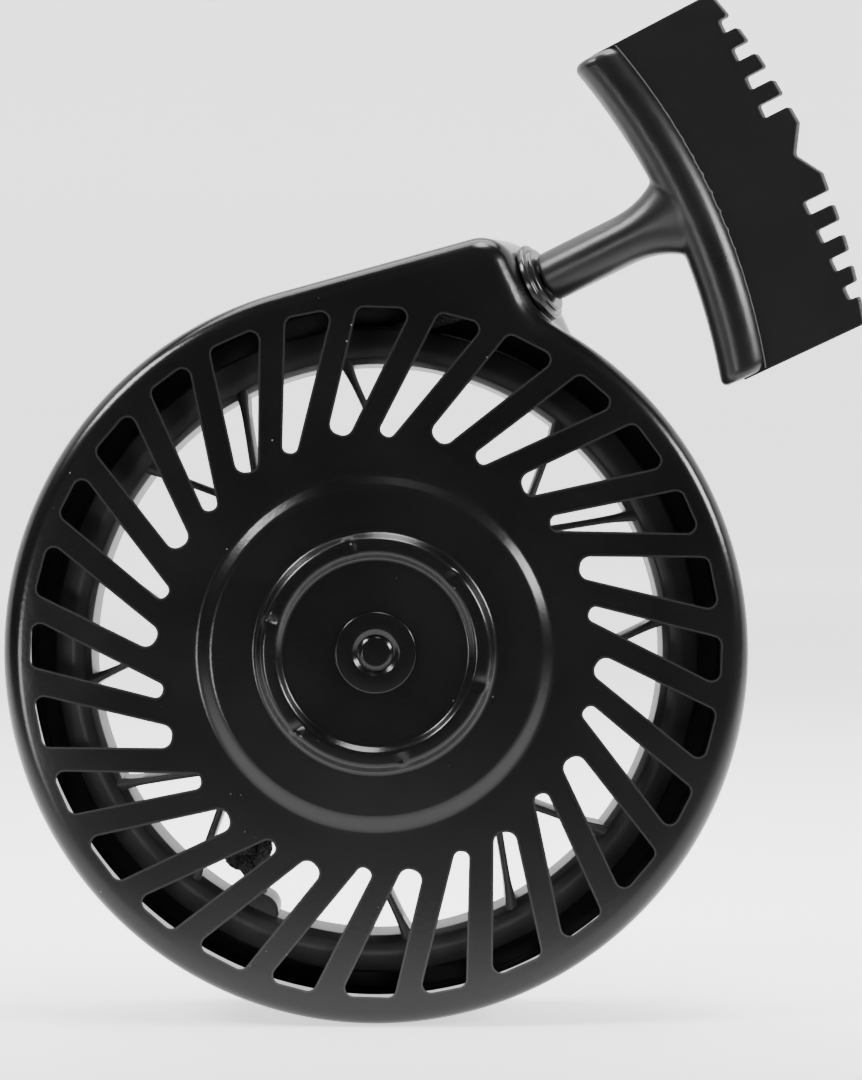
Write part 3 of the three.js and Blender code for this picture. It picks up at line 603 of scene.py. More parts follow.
@dataclass
class Housing:
    """The pressed cup: skirt, rounded rim, slotted face, raised disc, rolled bead and rope spout."""

    radius: float = 102.5
    depth: float = 48.0
    wall: float = 1.6
    rim: float = 5.8
    disc: float = 47.0
    disc_rise: float = 2.0
    bead: float = 29.0
    bead_rise: float = 2.6
    centre_drop: float = 0.7
    hole: float = 6.7
    heading: float = 25.0
    tilt: float = 20.0
    tangent: float = 105.5
    setback: float = 24.4
    slant_depth: float = 26.0
    slant_ease: float = 4.0
    corners: tuple[float, float] = (9.0, 13.0)
    fillets: tuple[float, float] = (14.0, 8.0)
    slot_margin: float = 7.0
    slot_corner: float = 3.3
    slot_pairs: int = 14
    lip: float = 0.95
    dents: int = 6
    first_dent: float = 44.0
    dent_depth: float = 0.9
    pads: int = 4
    press: float = 0.9
    pad_half: float = 10.0
    pad_height: float = 18.0
    bolt: float = 3.4
    bolt_depth: float = 10.0
    exit_depth: float = 14.5
    exit_from_corner: float = 6.76
    throat: float = 7.5
    round_steps: int = 320
    kinds: tuple[Slot, ...] = (Slot(23.85, 11.6, 58.2, 5.5, 15.2), Slot(11.2, 10.2, 59.2, 7.4, 17.0))

    @property
    def face(self) -> float:
        """Y of the front of the slotted face."""
        return -self.depth

    @property
    def centre_face(self) -> float:
        """Y of the small disc inside the bead."""
        return self.face - self.disc_rise - self.centre_drop

    def across(self, u: float, v: float) -> tuple[float, float]:
        """X and Z from distances along the rope's heading and square to it."""
        a = math.radians(self.heading)
        return u * math.cos(a) - v * math.sin(a), u * math.sin(a) + v * math.cos(a)

    def spout(self, depth: float) -> tuple[float, ...]:
        """Where the spout's end wall lies.

        Args:
            depth: how far behind the face, in millimetres.
        Returns:
            The wall's reach, its fillet and corner radii, and both arcs' centres along and across
            the heading.
        """
        ease, full = self.slant_ease, self.slant_depth
        share = min(depth, full) / full
        if abs(depth - full) < ease:
            share = 1 - (full + ease - depth) ** 2 / (4 * ease * full)
        fillet, corner = (a + (b - a) * share for a, b in (self.fillets, self.corners))
        wall = self.radius - self.setback + full * share * math.tan(math.radians(self.tilt))
        fillet_u, corner_u = wall + fillet, wall - corner
        fillet_v = math.sqrt((self.radius + fillet) ** 2 - fillet_u ** 2)
        turn = math.radians(self.tangent - self.heading)
        corner_v = (self.radius - corner - corner_u * math.cos(turn)) / math.sin(turn)
        return wall, fillet, corner, fillet_u, fillet_v, corner_u, corner_v

    def outline(self, depth: float, inset: float) -> list[tuple[float, float]]:
        """The housing's outline.

        Args:
            depth: how far behind the face.
            inset: how far inside the outer surface.
        Returns:
            X and Z of its points, always as many and in the same order.
        """
        _, fillet, corner, fillet_u, fillet_v, corner_u, corner_v = self.spout(depth)
        turn, joint = math.radians(self.tangent - self.heading), math.atan2(fillet_v, fillet_u)
        points: list[tuple[float, float]] = []

        def arc(u: float, v: float, reach: float, start: float, end: float, steps: int,
                first: int = 0) -> None:
            """Adds the points of one arc."""
            for angle in np.linspace(start, end, steps + 1)[first:]:
                points.append(self.across(u + reach * math.cos(angle), v + reach * math.sin(angle)))

        arc(0, 0, self.radius - inset, turn, joint + 2 * math.pi, self.round_steps)
        arc(fillet_u, fillet_v, fillet + inset, joint - math.pi, -math.pi, 14, 1)
        arc(corner_u, corner_v, max(corner - inset, 0.6), 0, turn, 22)
        start, end = Vector(points[-1]), Vector(points[0])
        points.extend(tuple(start.lerp(end, share)) for share in np.linspace(0, 1, 16)[1:-1])
        return points

    def slot_outline(self, kind: Slot, turn: float, grow: float) -> list[tuple[float, float]]:
        """One slot's outline.

        Args:
            kind: which slot.
            turn: its place round the face, in degrees.
            grow: how far outside the slot's own edge.
        Returns:
            X and Z of its points.
        """
        reach = self.radius - self.slot_margin
        half = math.degrees(kind.outer_width / 2 / reach)
        centre = Vector(polar(kind.inner + kind.inner_width / 2, kind.start + kind.sweep + turn))
        way = (Vector(polar(reach, kind.start + turn)) - centre).normalized()
        side = Vector((-way.y, way.x)) * kind.inner_width / 2
        foot = centre - way * kind.inner_width / 2
        corners = [(*(foot + side), kind.inner_width / 2), (*(foot - side), kind.inner_width / 2),
                   (*polar(reach, kind.start + turn - half), self.slot_corner),
                   (*polar(reach, kind.start + turn + half), self.slot_corner)]
        return grown(rounded(corners, steps=8), -grow)

    def sheet(self, skin: Skin, y: float, outer: list[int], holes: list[list[int]]) -> None:
        """Fills the flat between an outline and its holes, from points that are there already."""
        loops = [outer, *holes]
        flat = [Vector((skin.points[i][0], skin.points[i][2])) for loop in loops for i in loop]
        numbers = [i for loop in loops for i in loop]
        edges, start = [], 0
        for loop in loops:
            edges += [(start + i, start + (i + 1) % len(loop)) for i in range(len(loop))]
            start += len(loop)
        points, _, faces, origins, _, _ = delaunay_2d_cdt(flat, edges, [], 1, 1e-5)
        known = [numbers[origin[0]] if origin else skin.ring([(point.x, y, point.y)])[0]
                 for origin, point in zip(origins, points)]
        at = np.array([point[:] for point in points])
        middles = np.array([at[list(corners)].mean(axis=0) for corners in faces])
        open_there = np.zeros(len(faces), bool)
        for hole in holes:
            open_there |= enclosed(middles, np.array([(skin.points[i][0], skin.points[i][2]) for i in hole]))
        for corners, is_open in zip(faces, open_there):
            if not is_open:
                skin.face([known[i] for i in corners])

    def side(self, skin: Skin, inset: float) -> list[list[int]]:
        """One surface of the skirt and rim, from the rear edge to the flat of the face."""
        radius = self.rim - inset
        edge = 0.35
        levels = [(0.0, inset + (edge if inset == 0 else -edge)),
                  (-0.1, inset + (0.1 if inset == 0 else -0.1)),
                  (-edge, inset)]
        levels += [(float(y), inset) for y in np.linspace(-1.2, -self.pad_height - 2, 17)]
        levels += [(float(y), inset) for y in np.linspace(-self.pad_height - 3.5, -self.depth + self.rim, 14)]
        for angle in np.linspace(0, math.pi / 2, 11)[1:]:
            levels.append((-self.depth + self.rim - radius * math.sin(angle),
                           inset + radius * (1 - math.cos(angle))))
        rings = []
        for y, depth_in in levels:
            ring = [self.padded(x, y, z, inset) for x, z in self.outline(y + self.depth, depth_in)]
            rings.append(skin.ring(ring))
        skin.tube(rings)
        return rings

    def padded(self, x: float, y: float, z: float, inset: float) -> Point:
        """Presses a point of the skirt onto a screw pad's flat, if it lies on one."""
        for i in range(self.pads):
            a = math.radians(45 + 360 / self.pads * i)
            away, aside = x * math.cos(a) + z * math.sin(a), z * math.cos(a) - x * math.sin(a)
            if away < 0 or abs(aside) > self.pad_half + 2 or y < -self.pad_height - 2:
                continue
            mask = 1.0
            for over in (abs(aside) - self.pad_half + 0.6, -y - self.pad_height + 0.4):
                step = min(max(1 - over / 1.6, 0), 1)
                mask *= step * step * (3 - 2 * step)
            away += (self.radius - self.press - inset - away) * mask
            return away * math.cos(a) - aside * math.sin(a), y, away * math.sin(a) + aside * math.cos(a)
        return x, y, z

    def relief(self, skin: Skin, behind: float) -> list[list[int]]:
        """The raised disc and the bead, from the flat of the face in to the post's hole."""
        top, crest = self.face - self.disc_rise, self.face - self.disc_rise - self.bead_rise
        thin = behind * 0.45
        corners = [(self.disc + 4 - behind, self.face), (self.disc + 1.7 - thin, self.face, 3.5),
                   (self.disc - 1.7 - thin, top, 3.5), (self.bead + 4 - thin, top, 1.8),
                   (self.bead + 1.9 - thin, crest, 1.9), (self.bead - 1.7 + thin, crest, 1.7),
                   (self.bead - 3.5 + thin, self.centre_face, 1.5), (self.hole, self.centre_face)]
        rings = []
        for radius, y in rounded(corners, closed=False, steps=7):
            ring = []
            for i in range(240):
                angle = 360 * i / 240
                spokes = [self.first_dent + 360 / self.dents * k for k in range(self.dents)]
                off = min(abs((angle - spoke + 180) % 360 - 180) for spoke in spokes)
                away, aside = radius - self.bead - 0.9, math.radians(off) * self.bead
                dent = self.dent_depth * math.exp(-(away / 1.5) ** 2 - (aside / 1.35) ** 2)
                x, z = polar(radius, angle)
                ring.append((x, y + behind + dent, z))
            rings.append(skin.ring(ring))
        skin.tube(rings)
        return rings

    def exit(self) -> Matrix:
        """The rope outlet's own frame: X out along the rope, Y across the handle, Z to the front."""
        spout = self.spout(self.exit_depth)
        x, z = self.across(spout[0], spout[6] - self.exit_from_corner)
        tilt = math.radians(self.tilt)
        ahead = self.across(math.cos(tilt), 0)
        out = Vector((ahead[0], -math.sin(tilt), ahead[1]))
        side = Vector((*self.across(0, 1), 0)).xzy
        made = Matrix((out, side, out.cross(side))).transposed().to_4x4()
        made.translation = Vector((x, self.face + self.exit_depth, z))
        return made

    def build(self) -> bpy.types.Object:
        """Makes the housing and drills its holes."""
        skin = Skin()
        outer, inner = self.side(skin, 0), self.side(skin, self.wall)
        skin.bridge(outer[0], inner[0])
        front, back = self.relief(skin, 0), self.relief(skin, self.wall)
        skin.bridge(front[-1], back[-1])
        before, behind = [], []
        for kind in self.kinds:
            for i in range(self.slot_pairs):
                turn = 360 / self.slot_pairs * i
                rings = []
                for angle in np.linspace(0, math.pi / 2, 7):
                    y = self.face + self.lip * (1 - math.cos(angle))
                    grown = self.slot_outline(kind, turn, self.lip * (1 - math.sin(angle)))
                    rings.append(skin.ring((x, y, z) for x, z in grown))
                plain = self.slot_outline(kind, turn, 0)
                rings.append(skin.ring((x, self.face + self.wall - 0.25, z) for x, z in plain))
                wide = self.slot_outline(kind, turn, 0.25)
                rings.append(skin.ring((x, self.face + self.wall, z) for x, z in wide))
                skin.tube(rings)
                before.append(rings[0])
                behind.append(rings[-1])
        self.sheet(skin, self.face, outer[-1], [front[0], *before])
        self.sheet(skin, self.face + self.wall, inner[-1], [back[0], *behind])
        shell = skin.build("housing_shell", [Finishes.COAT], 50)
        return drilled(shell, [self.cutters()], [Finishes.COAT])

    def cutters(self) -> bpy.types.Object:
        """The throat in the spout's wall and the screw holes in the pads, as one set of cylinders."""
        skin = Skin()
        places = [(self.exit() @ Matrix.Rotation(-math.pi / 2, 4, "Z"), self.throat, -7.0, 4.0)]
        for i in range(self.pads):
            a = math.radians(45 + 360 / self.pads * i)
            place = Matrix.Translation((self.radius * math.cos(a), -self.bolt_depth,
                                        self.radius * math.sin(a)))
            places.append((place @ Matrix.Rotation(-a, 4, "Y") @ Matrix.Rotation(-math.pi / 2, 4, "Z"),
                           self.bolt, -6.0, 6.0))
        for place, radius, low, high in places:
            profile = [(0, low), (radius, low), (radius, high), (0, high)]
            first = len(skin.points)
            turned(skin, profile, 40, closed=False)
            skin.points[first:] = [tuple(place @ Vector(point)) for point in skin.points[first:]]
        return skin.build("hole_cutters", [Finishes.COAT])


@dataclass
class PostAndCollar:
    """The fixed centre: the staked post, the spring collar behind the face and the rope grommet."""

    head: float = 11.3
    head_front: float = -51.9
    head_back: float = -51.0
    neck: float = 6.4
    shank: float = 8.0
    dimple: float = 5.4
    dimple_depth: float = 1.1

    def post(self) -> bpy.types.Object:
        """The post, with a ring pressed into its head round a low dome."""
        front, ring = self.head_front, self.dimple
        corners = [(0, front + 0.25), (ring - 1.6, front + 0.25, 1.2),
                   (ring - 0.5, front + self.dimple_depth, 0.5),
                   (ring + 1.0, front + 0.05, 0.8), (self.head - 0.3, front + 0.1, 0.5),
                   (self.head, self.head_back, 0.2),
                   (self.neck, self.head_back), (self.neck, -48.8), (self.shank, -48.8),
                   (self.shank, -12.2, 0.3),
                   (6.0, -12.2), (6.0, -7.0, 0.4), (0, -7.0)]
        skin = Skin()
        turned(skin, rounded(corners, closed=False, steps=5), 128, closed=False)
        return skin.build("post_turned", [Finishes.COAT])

    def collar(self) -> bpy.types.Object:
        """The collar that the rewind spring hooks on."""
        corners = [(12.3, -27, 0.4), (12.3, -48.8), (24, -48.8), (24, -47.3, 0.6), (15.3, -47.3, 1.4),
                   (15.3, -27, 0.5)]
        return turned_piece("collar_turned", corners, Finishes.NYLON)

    def grommet(self, exit_frame: Matrix) -> bpy.types.Object:
        """The glossy rope bushing in the spout's end wall, with a rolled lip."""
        corners = [(3.2, -3.4, 1.0), (3.2, 3.4, 2.0), (9.4, 3.4, 1.5), (9.6, 2.2, 0.3), (11.2, 2.2, 0.9),
                   (11.2, 0.3, 0.2),
                   (7.2, 0.3), (7.2, -1.8), (8.6, -1.8, 0.3), (8.6, -3.4, 0.6)]
        piece = turned_piece("rope_bushing", corners, Finishes.RUBBER, steps=6)
        turn = exit_frame @ Matrix.Rotation(-math.pi / 2, 4, "Z")
        turn.translation *= MM
        piece.data.transform(turn)
        return piece

    def build(self, exit_frame: Matrix) -> None:
        """Makes the three pieces on the housing."""
        dressed(self.post(), "housing", "coat", "centre_post")
        dressed(self.collar(), "housing", "nylon", "spring_collar")
        dressed(self.grommet(exit_frame), "housing", "rubber", "rope_grommet")


# ---------------------------------------------------------------- geometry node tools
class Nodes:
    """A Geometry Nodes group built socket by socket, run once on an object."""

    def __init__(self, name: str) -> None:
        """Makes an empty group with a geometry input and output."""
        self.group = bpy.data.node_groups.new(name, "GeometryNodeTree")
        face = self.group.interface
        face.new_socket("Geometry", in_out="OUTPUT", socket_type="NodeSocketGeometry")
        face.new_socket("Geometry", in_out="INPUT", socket_type="NodeSocketGeometry")
        self.start = self.group.nodes.new("NodeGroupInput")
        self.end = self.group.nodes.new("NodeGroupOutput")
        self.values: dict[str, object] = {}

    def value(self, name: str, kind: str, value: object) -> bpy.types.NodeSocket:
        """A named input of the group.

        Args:
            name: its name in the modifier.
            kind: Float, Int or Material.
            value: what the modifier sets it to.
        Returns:
            The socket inside the group.
        """
        item = self.group.interface.new_socket(name, in_out="INPUT", socket_type=f"NodeSocket{kind}")
        self.values[item.identifier] = value
        return next(socket for socket in self.start.outputs if socket.identifier == item.identifier)

    def node(self, kind: str, settings: dict | None = None, inputs: dict | None = None) -> bpy.types.Node:
        """Adds a node, with its properties and then its inputs, as in a shader."""
        made = self.group.nodes.new(kind)
        for key, value in (settings or {}).items():
            setattr(made, key, value)
        for key, value in (inputs or {}).items():
            if isinstance(value, bpy.types.NodeSocket):
                self.group.links.new(value, made.inputs[key])
            else:
                made.inputs[key].default_value = value
        return made

    def maths(self, operation: str, *values: object) -> bpy.types.NodeSocket:
        """The result of a Math node."""
        return self.node("ShaderNodeMath", {"operation": operation}, dict(enumerate(values))).outputs[0]

    def run(self, piece: bpy.types.Object, shape: bpy.types.NodeSocket, finish: Finishes) -> bpy.types.Object:
        """Ends the group, runs it on an object and keeps the result as a plain mesh.

        Args:
            piece: the object that it starts from; it is replaced.
            shape: the socket with the finished geometry.
            finish: what the result wears.
        Returns:
            The new object under the same name.
        """
        material = self.value("Finish", "Material", finish.value.material())
        real = self.node("GeometryNodeRealizeInstances", {}, {0: shape})
        worn = self.node("GeometryNodeSetMaterial", {}, {0: real.outputs[0], "Material": material})
        self.group.links.new(worn.outputs[0], self.end.inputs[0])
        name = piece.name
        live = piece.modifiers.new("shape", "NODES")
        live.node_group = self.group
        for identifier, value in self.values.items():
            live[identifier] = value
        return linked(name, evaluated(piece), [finish], 40)


def arrayed(source: bpy.types.Object, finish: Finishes, count: int, start: float) -> bpy.types.Object:
    """Copies of a piece in even turns round the Y axis.

    Args:
        source: the piece at angle 0; it is replaced.
        finish: what the result wears.
        count: how many copies there are.
        start: where the first one stands, in degrees.
    Returns:
        One mesh with all of them.
    """
    n = Nodes(f"{source.name}_array")
    many = n.node("GeometryNodeMeshLine", {}, {"Count": n.value("Count", "Int", count), "Offset": (0, 0, 0)})
    index = n.node("GeometryNodeInputIndex").outputs[0]
    pitch, first = n.value("Pitch", "Float", math.radians(360 / count)), n.value("Start", "Float",
        math.radians(start))
    angle = n.maths("MULTIPLY", n.maths("MULTIPLY_ADD", index, pitch, first), -1)
    turn = n.node("ShaderNodeCombineXYZ", {}, {"Y": angle})
    placed = n.node("GeometryNodeInstanceOnPoints", {}, {
        "Points": many.outputs[0], "Instance": n.start.outputs[0], "Rotation": turn.outputs[0]})
    return n.run(source, placed.outputs[0], finish)


def traced(name: str, path: Sequence[Point], closed: bool = False) -> bpy.types.Object:
    """A smooth curve through points given in millimetres."""
    curve = bpy.data.curves.new(name, "CURVE")
    curve.dimensions, curve.twist_mode = "3D", "MINIMUM"
    spline = curve.splines.new("POLY")
    spline.points.add(len(path) - 1)
    spline.points.foreach_set("co", [value for x, y, z in path for value in (x * MM, y * MM, z * MM, 1)])
    spline.use_cyclic_u = closed
    made = bpy.data.objects.new(name, curve)
    bpy.context.scene.collection.objects.link(made)
    return made


def piped(name: str, path: Sequence[Point], radius: float, finish: Finishes,
          step: float = 0.5) -> bpy.types.Object:
    """A round wire along a path."""
    n = Nodes(f"{name}_wire")
    even = n.node("GeometryNodeResampleCurve", {"mode": "LENGTH"}, {
        "Curve": n.start.outputs[0], "Length": n.value("Step", "Float", step * MM)})
    ring = n.node("GeometryNodeCurvePrimitiveCircle", {},
                  {"Resolution": 12, "Radius": n.value("Radius", "Float", radius * MM)})
    pipe = n.node("GeometryNodeCurveToMesh", {}, {"Curve": even.outputs[0],
                                                  "Profile Curve": ring.outputs[0], "Fill Caps": True})
    return n.run(traced(name, path), pipe.outputs[0], finish)


@dataclass(frozen=True)
class Weave:
    """A braided cord: yarns that go both ways round and over and under each other."""

    radius: float = 2.2
    yarns: int = 8
    lay: float = 13.0
    swell: float = 0.14
    step: float = 0.42

    def build(self, name: str, path: Sequence[Point], closed: bool = False) -> bpy.types.Object:
        """Braids a cord along a path.

        Args:
            name: the piece's name.
            path: points in millimetres, near each other.
            closed: whether the path is a loop.
        Returns:
            One mesh of all the yarns over a core.
        """
        n = Nodes(f"{name}_braid")
        yarn = self.radius * math.pi / self.yarns * 0.62
        even = n.node("GeometryNodeResampleCurve", {"mode": "LENGTH"}, {
            "Curve": n.start.outputs[0], "Length": n.value("Step", "Float", self.step * MM)})
        count = n.value("Yarns", "Int", self.yarns * 2)
        copies = n.node("GeometryNodeDuplicateElements", {"domain": "SPLINE"},
                        {"Geometry": even.outputs[0], "Amount": count})
        index = copies.outputs["Duplicate Index"]
        way = n.maths("MULTIPLY_ADD", n.maths("MODULO", index, 2.0), -2.0, 1.0)
        along = n.node("GeometryNodeSplineParameter").outputs["Length"]
        lay = n.value("Lay", "Float", self.lay * MM)
        turn = n.maths("DIVIDE", n.maths("MULTIPLY", along, 2 * math.pi), lay)
        slot = n.maths("MULTIPLY", n.maths("FLOOR", n.maths("DIVIDE", index, 2.0)), 2 * math.pi / self.yarns)
        angle = n.maths("MULTIPLY_ADD", turn, way, slot)
        wave = n.maths("MULTIPLY", n.maths("COSINE", n.maths("MULTIPLY", turn, float(self.yarns))), way)
        radius = n.value("Radius", "Float", (self.radius - yarn - self.swell) * MM)
        reach = n.maths("MULTIPLY_ADD", wave, n.value("Swell", "Float", self.swell * MM), radius)
        normal = n.node("GeometryNodeInputNormal").outputs[0]
        tangent = n.node("GeometryNodeInputTangent").outputs[0]
        across = n.node("ShaderNodeVectorMath", {"operation": "CROSS_PRODUCT"},
                        {0: tangent, 1: normal}).outputs[0]
        scaled = [n.node("ShaderNodeVectorMath", {"operation": "SCALE"}, {
            0: vector, "Scale": n.maths("MULTIPLY", reach, n.maths(wave_kind, angle))}).outputs[0]
            for vector, wave_kind in ((normal, "COSINE"), (across, "SINE"))]
        offset = n.node("ShaderNodeVectorMath", {"operation": "ADD"}, {0: scaled[0], 1: scaled[1]})
        laid = n.node("GeometryNodeSetPosition", {},
                      {"Geometry": copies.outputs[0], "Offset": offset.outputs[0]})
        thick = n.value("Yarn radius", "Float", yarn * MM)
        ring = n.node("GeometryNodeCurvePrimitiveCircle", {}, {"Resolution": 6, "Radius": thick})
        yarns = n.node("GeometryNodeCurveToMesh", {}, {
            "Curve": laid.outputs[0], "Profile Curve": ring.outputs[0], "Fill Caps": True})
        inner = n.node("GeometryNodeCurvePrimitiveCircle", {}, {"Resolution": 14, "Radius": radius})
        core = n.node("GeometryNodeCurveToMesh", {}, {
            "Curve": even.outputs[0], "Profile Curve": inner.outputs[0], "Fill Caps": True})
        both = n.node("GeometryNodeJoinGeometry")
        for made in (core, yarns):
            n.group.links.new(made.outputs[0], both.inputs[0])
        return n.run(traced(name, path, closed), both.outputs[0], Finishes.YARN)


# ---------------------------------------------------------------- rope pulley
@dataclass
class Pulley:
    """The moulded pulley: spring drum, rope ring, and pairs of thin curved-crest ribs between them."""

    shank_hole: float = 8.3
    sleeve: float = 12.0
    boss: float = 14.0
    boss_rear: float = -12.5
    hub: float = 52.0
    hub_wall: float = 3.0
    hub_front: float = -42.2
    floor: float = -24.0
    rear: float = -20.0
    ring_inner: float = 79.8
    groove_floor: float = 81.5
    ring_outer: float = 90.6
    ring_front: float = -33.2
    groove_front: float = -31.2
    groove_rear: float = -16.2
    ring_rear: float = -14.2
    guard_outer: float = 99.0
    pairs: int = 8
    first_rib: float = 39.5
    apex: float = 50.6
    spread: float = 30.1
    rib_length: float = 41.1
    rib_half: float = 1.0
    screw_circle: float = 46.8
    lug: float = 3.6
    rope_boss: tuple[float, float, float] = (5.0, 80.3, 246.0)

    def drum(self) -> bpy.types.Object:
        """The hub cup with its sleeve, screw lugs and front fillets."""
        skin, wall = Skin(), self.hub - self.hub_wall
        corners = [(self.shank_hole, self.hub_front), (self.sleeve, self.hub_front, 0.4),
                   (self.sleeve, self.floor, 1.5),
                   (wall, self.floor, 1.5), (wall, self.hub_front, 0.3), (self.hub, self.hub_front, 0.5),
                   (self.hub, self.rear, 0.8), (self.boss, self.rear, 1.2), (self.boss, self.boss_rear, 0.4),
                   (self.shank_hole, self.boss_rear)]
        turned(skin, rounded(corners, steps=5), 160)
        return skin.build("pulley_drum", [Finishes.NYLON])

    def ring(self) -> bpy.types.Object:
        """The grooved rope ring with a soft crowned front."""
        corners = [(self.ring_inner, self.ring_rear, 0.6), (self.ring_inner, self.ring_front + 2.2, 1.5),
                   (self.ring_inner + 1.8, self.ring_front - 0.4, 2.0),
                   (self.ring_inner + 4.4, self.ring_front - 1.05, 4.0),
                   (self.ring_outer - 1.0, self.groove_front - 1.4, 1.2),
                   (self.ring_outer, self.groove_front, 0.5),
                   (self.groove_floor, self.groove_front, 0.5), (self.groove_floor, self.groove_rear, 0.5),
                   (self.ring_outer, self.groove_rear, 0.3), (self.ring_outer, self.ring_rear, 0.5)]
        skin = Skin()
        turned(skin, rounded(corners, steps=5), 240)
        return skin.build("pulley_ring", [Finishes.NYLON])

    def guard(self) -> bpy.types.Object:
        """The flat guard ring round the rope ring's rear edge, with a raised lip at its outer edge."""
        corners = [(self.ring_outer + GAP, self.ring_rear), (self.ring_outer + GAP, self.groove_rear, 0.3),
                   (self.guard_outer - 2.4, self.groove_rear, 0.6),
                   (self.guard_outer - 1.6, self.groove_rear - 0.5, 0.4),
                   (self.guard_outer, self.groove_rear - 0.5, 0.5), (self.guard_outer, self.ring_rear, 0.6)]
        return turned_piece("rope_guard_ring", corners, Finishes.NYLON, 240)

    def rib(self, side: int) -> bpy.types.Object:
        """One thin rib, with a crest that falls from the hub to the ring and a rounded edge."""
        skin, rings = Skin(), []
        lean, half = math.radians(self.spread * side), self.rib_half
        for share in np.linspace(0, 1, 25):
            length = self.rib_length * share - 1.5
            crest = -40.0 + 7.8 * share ** 1.15
            wide = half * (1 + 0.5 * math.exp(-share * 9) + 0.5 * math.exp((share - 0.78) * 14))
            wide = min(wide, half * 1.7)
            section = [(-wide, self.rear), (-wide * 0.93, crest + 0.7), (-wide * 0.5, crest + 0.12),
                       (0, crest),
                       (wide * 0.5, crest + 0.12), (wide * 0.93, crest + 0.7), (wide, self.rear)]
            along, aside = (math.cos(lean), math.sin(lean)), (-math.sin(lean), math.cos(lean))
            rings.append(skin.ring((self.apex + along[0] * length + aside[0] * off, y,
                                    along[1] * length + aside[1] * off)
                                   for off, y in section))
        skin.tube(rings)
        skin.face(rings[0])
        skin.face(rings[-1])
        return skin.build(f"rib_{'left' if side > 0 else 'right'}", [Finishes.NYLON])

    def posts(self) -> bpy.types.Object:
        """The screw lugs in the drum and the thick spot where the rope goes through the ring."""
        skin = Skin()
        spots = [(self.lug, *polar(self.screw_circle, 90 + 120 * i), self.hub_front,
                  self.rear - 1) for i in range(3)]
        size, reach, angle = self.rope_boss
        spots.append((size, *polar(reach, angle), self.ring_front + 2, self.ring_rear))
        for radius, x, z, front, rear in spots:
            first = len(skin.points)
            profile = rounded([(0, front), (radius, front, 0.4), (radius, rear, 0.4), (0, rear)],
                              closed=False)
            turned(skin, profile, 48, closed=False)
            skin.points[first:] = [(px + x, y, pz + z) for px, y, pz in skin.points[first:]]
        return skin.build("pulley_lugs", [Finishes.NYLON])

    def cover(self) -> bpy.types.Object:
        """The plated spring cover with a pressed step round its middle."""
        corners = [(17.0, -43.5, 0.4), (17.0, -42.5), (self.hub - 0.6, -42.5), (self.hub - 0.6, -43.5, 0.6),
                   (self.hub - 10, -43.5, 1.0), (self.hub - 12, -43.2, 1.0), (21.0, -43.2, 1.0),
                   (19.5, -43.5, 0.6)]
        return turned_piece("cover_plate", corners, Finishes.ZINC, 128)

    def screw(self) -> bpy.types.Object:
        """A pan-head screw at its place at angle 90, with a cross recess."""
        skin = Skin()
        top = -45.5
        corners = [(0, top + 0.9), (0.9, top + 0.7, 0.2), (1.15, top, 0.15), (2.1, top, 0.6),
                   (2.8, -44.7, 0.4),
                   (2.8, -43.8, 0.15), (1.4, -43.8), (1.4, -30.6, 0.4), (0, -30.2)]
        turned(skin, rounded(corners, closed=False), 40, closed=False)
        skin.points = [(x + self.screw_circle, y, z) for x, y, z in skin.points]
        return skin.build("cover_screws", [Finishes.ZINC])

    def rewind_spring(self) -> bpy.types.Object:
        """The flat clock spring, a strip wound seven times with a little uneven gap."""
        skin, rings, first, last, turns = Skin(), [], 17.5, 42.1, 7
        for i in range(turns * 72 + 1):
            share = i / (turns * 72)
            radius = first + (last - first) * share + 0.15 * math.sin(share * 41)
            (x, z), (a, b) = polar(radius, 360 * turns * share), polar(0.42, 360 * turns * share)
            rings.append(skin.ring([(x - a, -37.3, z - b), (x + a, -37.3, z + b), (x + a, -24.3, z + b),
                                    (x - a, -24.3, z - b)]))
        skin.tube(rings)
        skin.face(rings[0])
        skin.face(rings[-1])
        return skin.build("clock_spring", [Finishes.SPRING])

    def build(self) -> None:
        """Makes the pulley and what is fixed to it."""
        pieces = [self.drum(), self.ring(), self.posts()]
        pieces += [arrayed(self.rib(side), Finishes.NYLON, self.pairs, self.first_rib) for side in (1, -1)]
        dressed(pieces[0], "pulley", "nylon", "rope_pulley")
        for piece in pieces[1:]:
            dressed(piece, "pulley", "nylon")
        dressed(self.guard(), "pulley", "nylon", "rope_guard")
        dressed(self.rewind_spring(), "pulley", "spring_steel", "rewind_spring")
        dressed(self.cover(), "pulley", "zinc", "spring_cover")
        screws = arrayed(self.screw(), Finishes.ZINC, 3, 90)
        dressed(screws, "pulley", "zinc", "cover_screw_1", "cover_screw_2", "cover_screw_3")


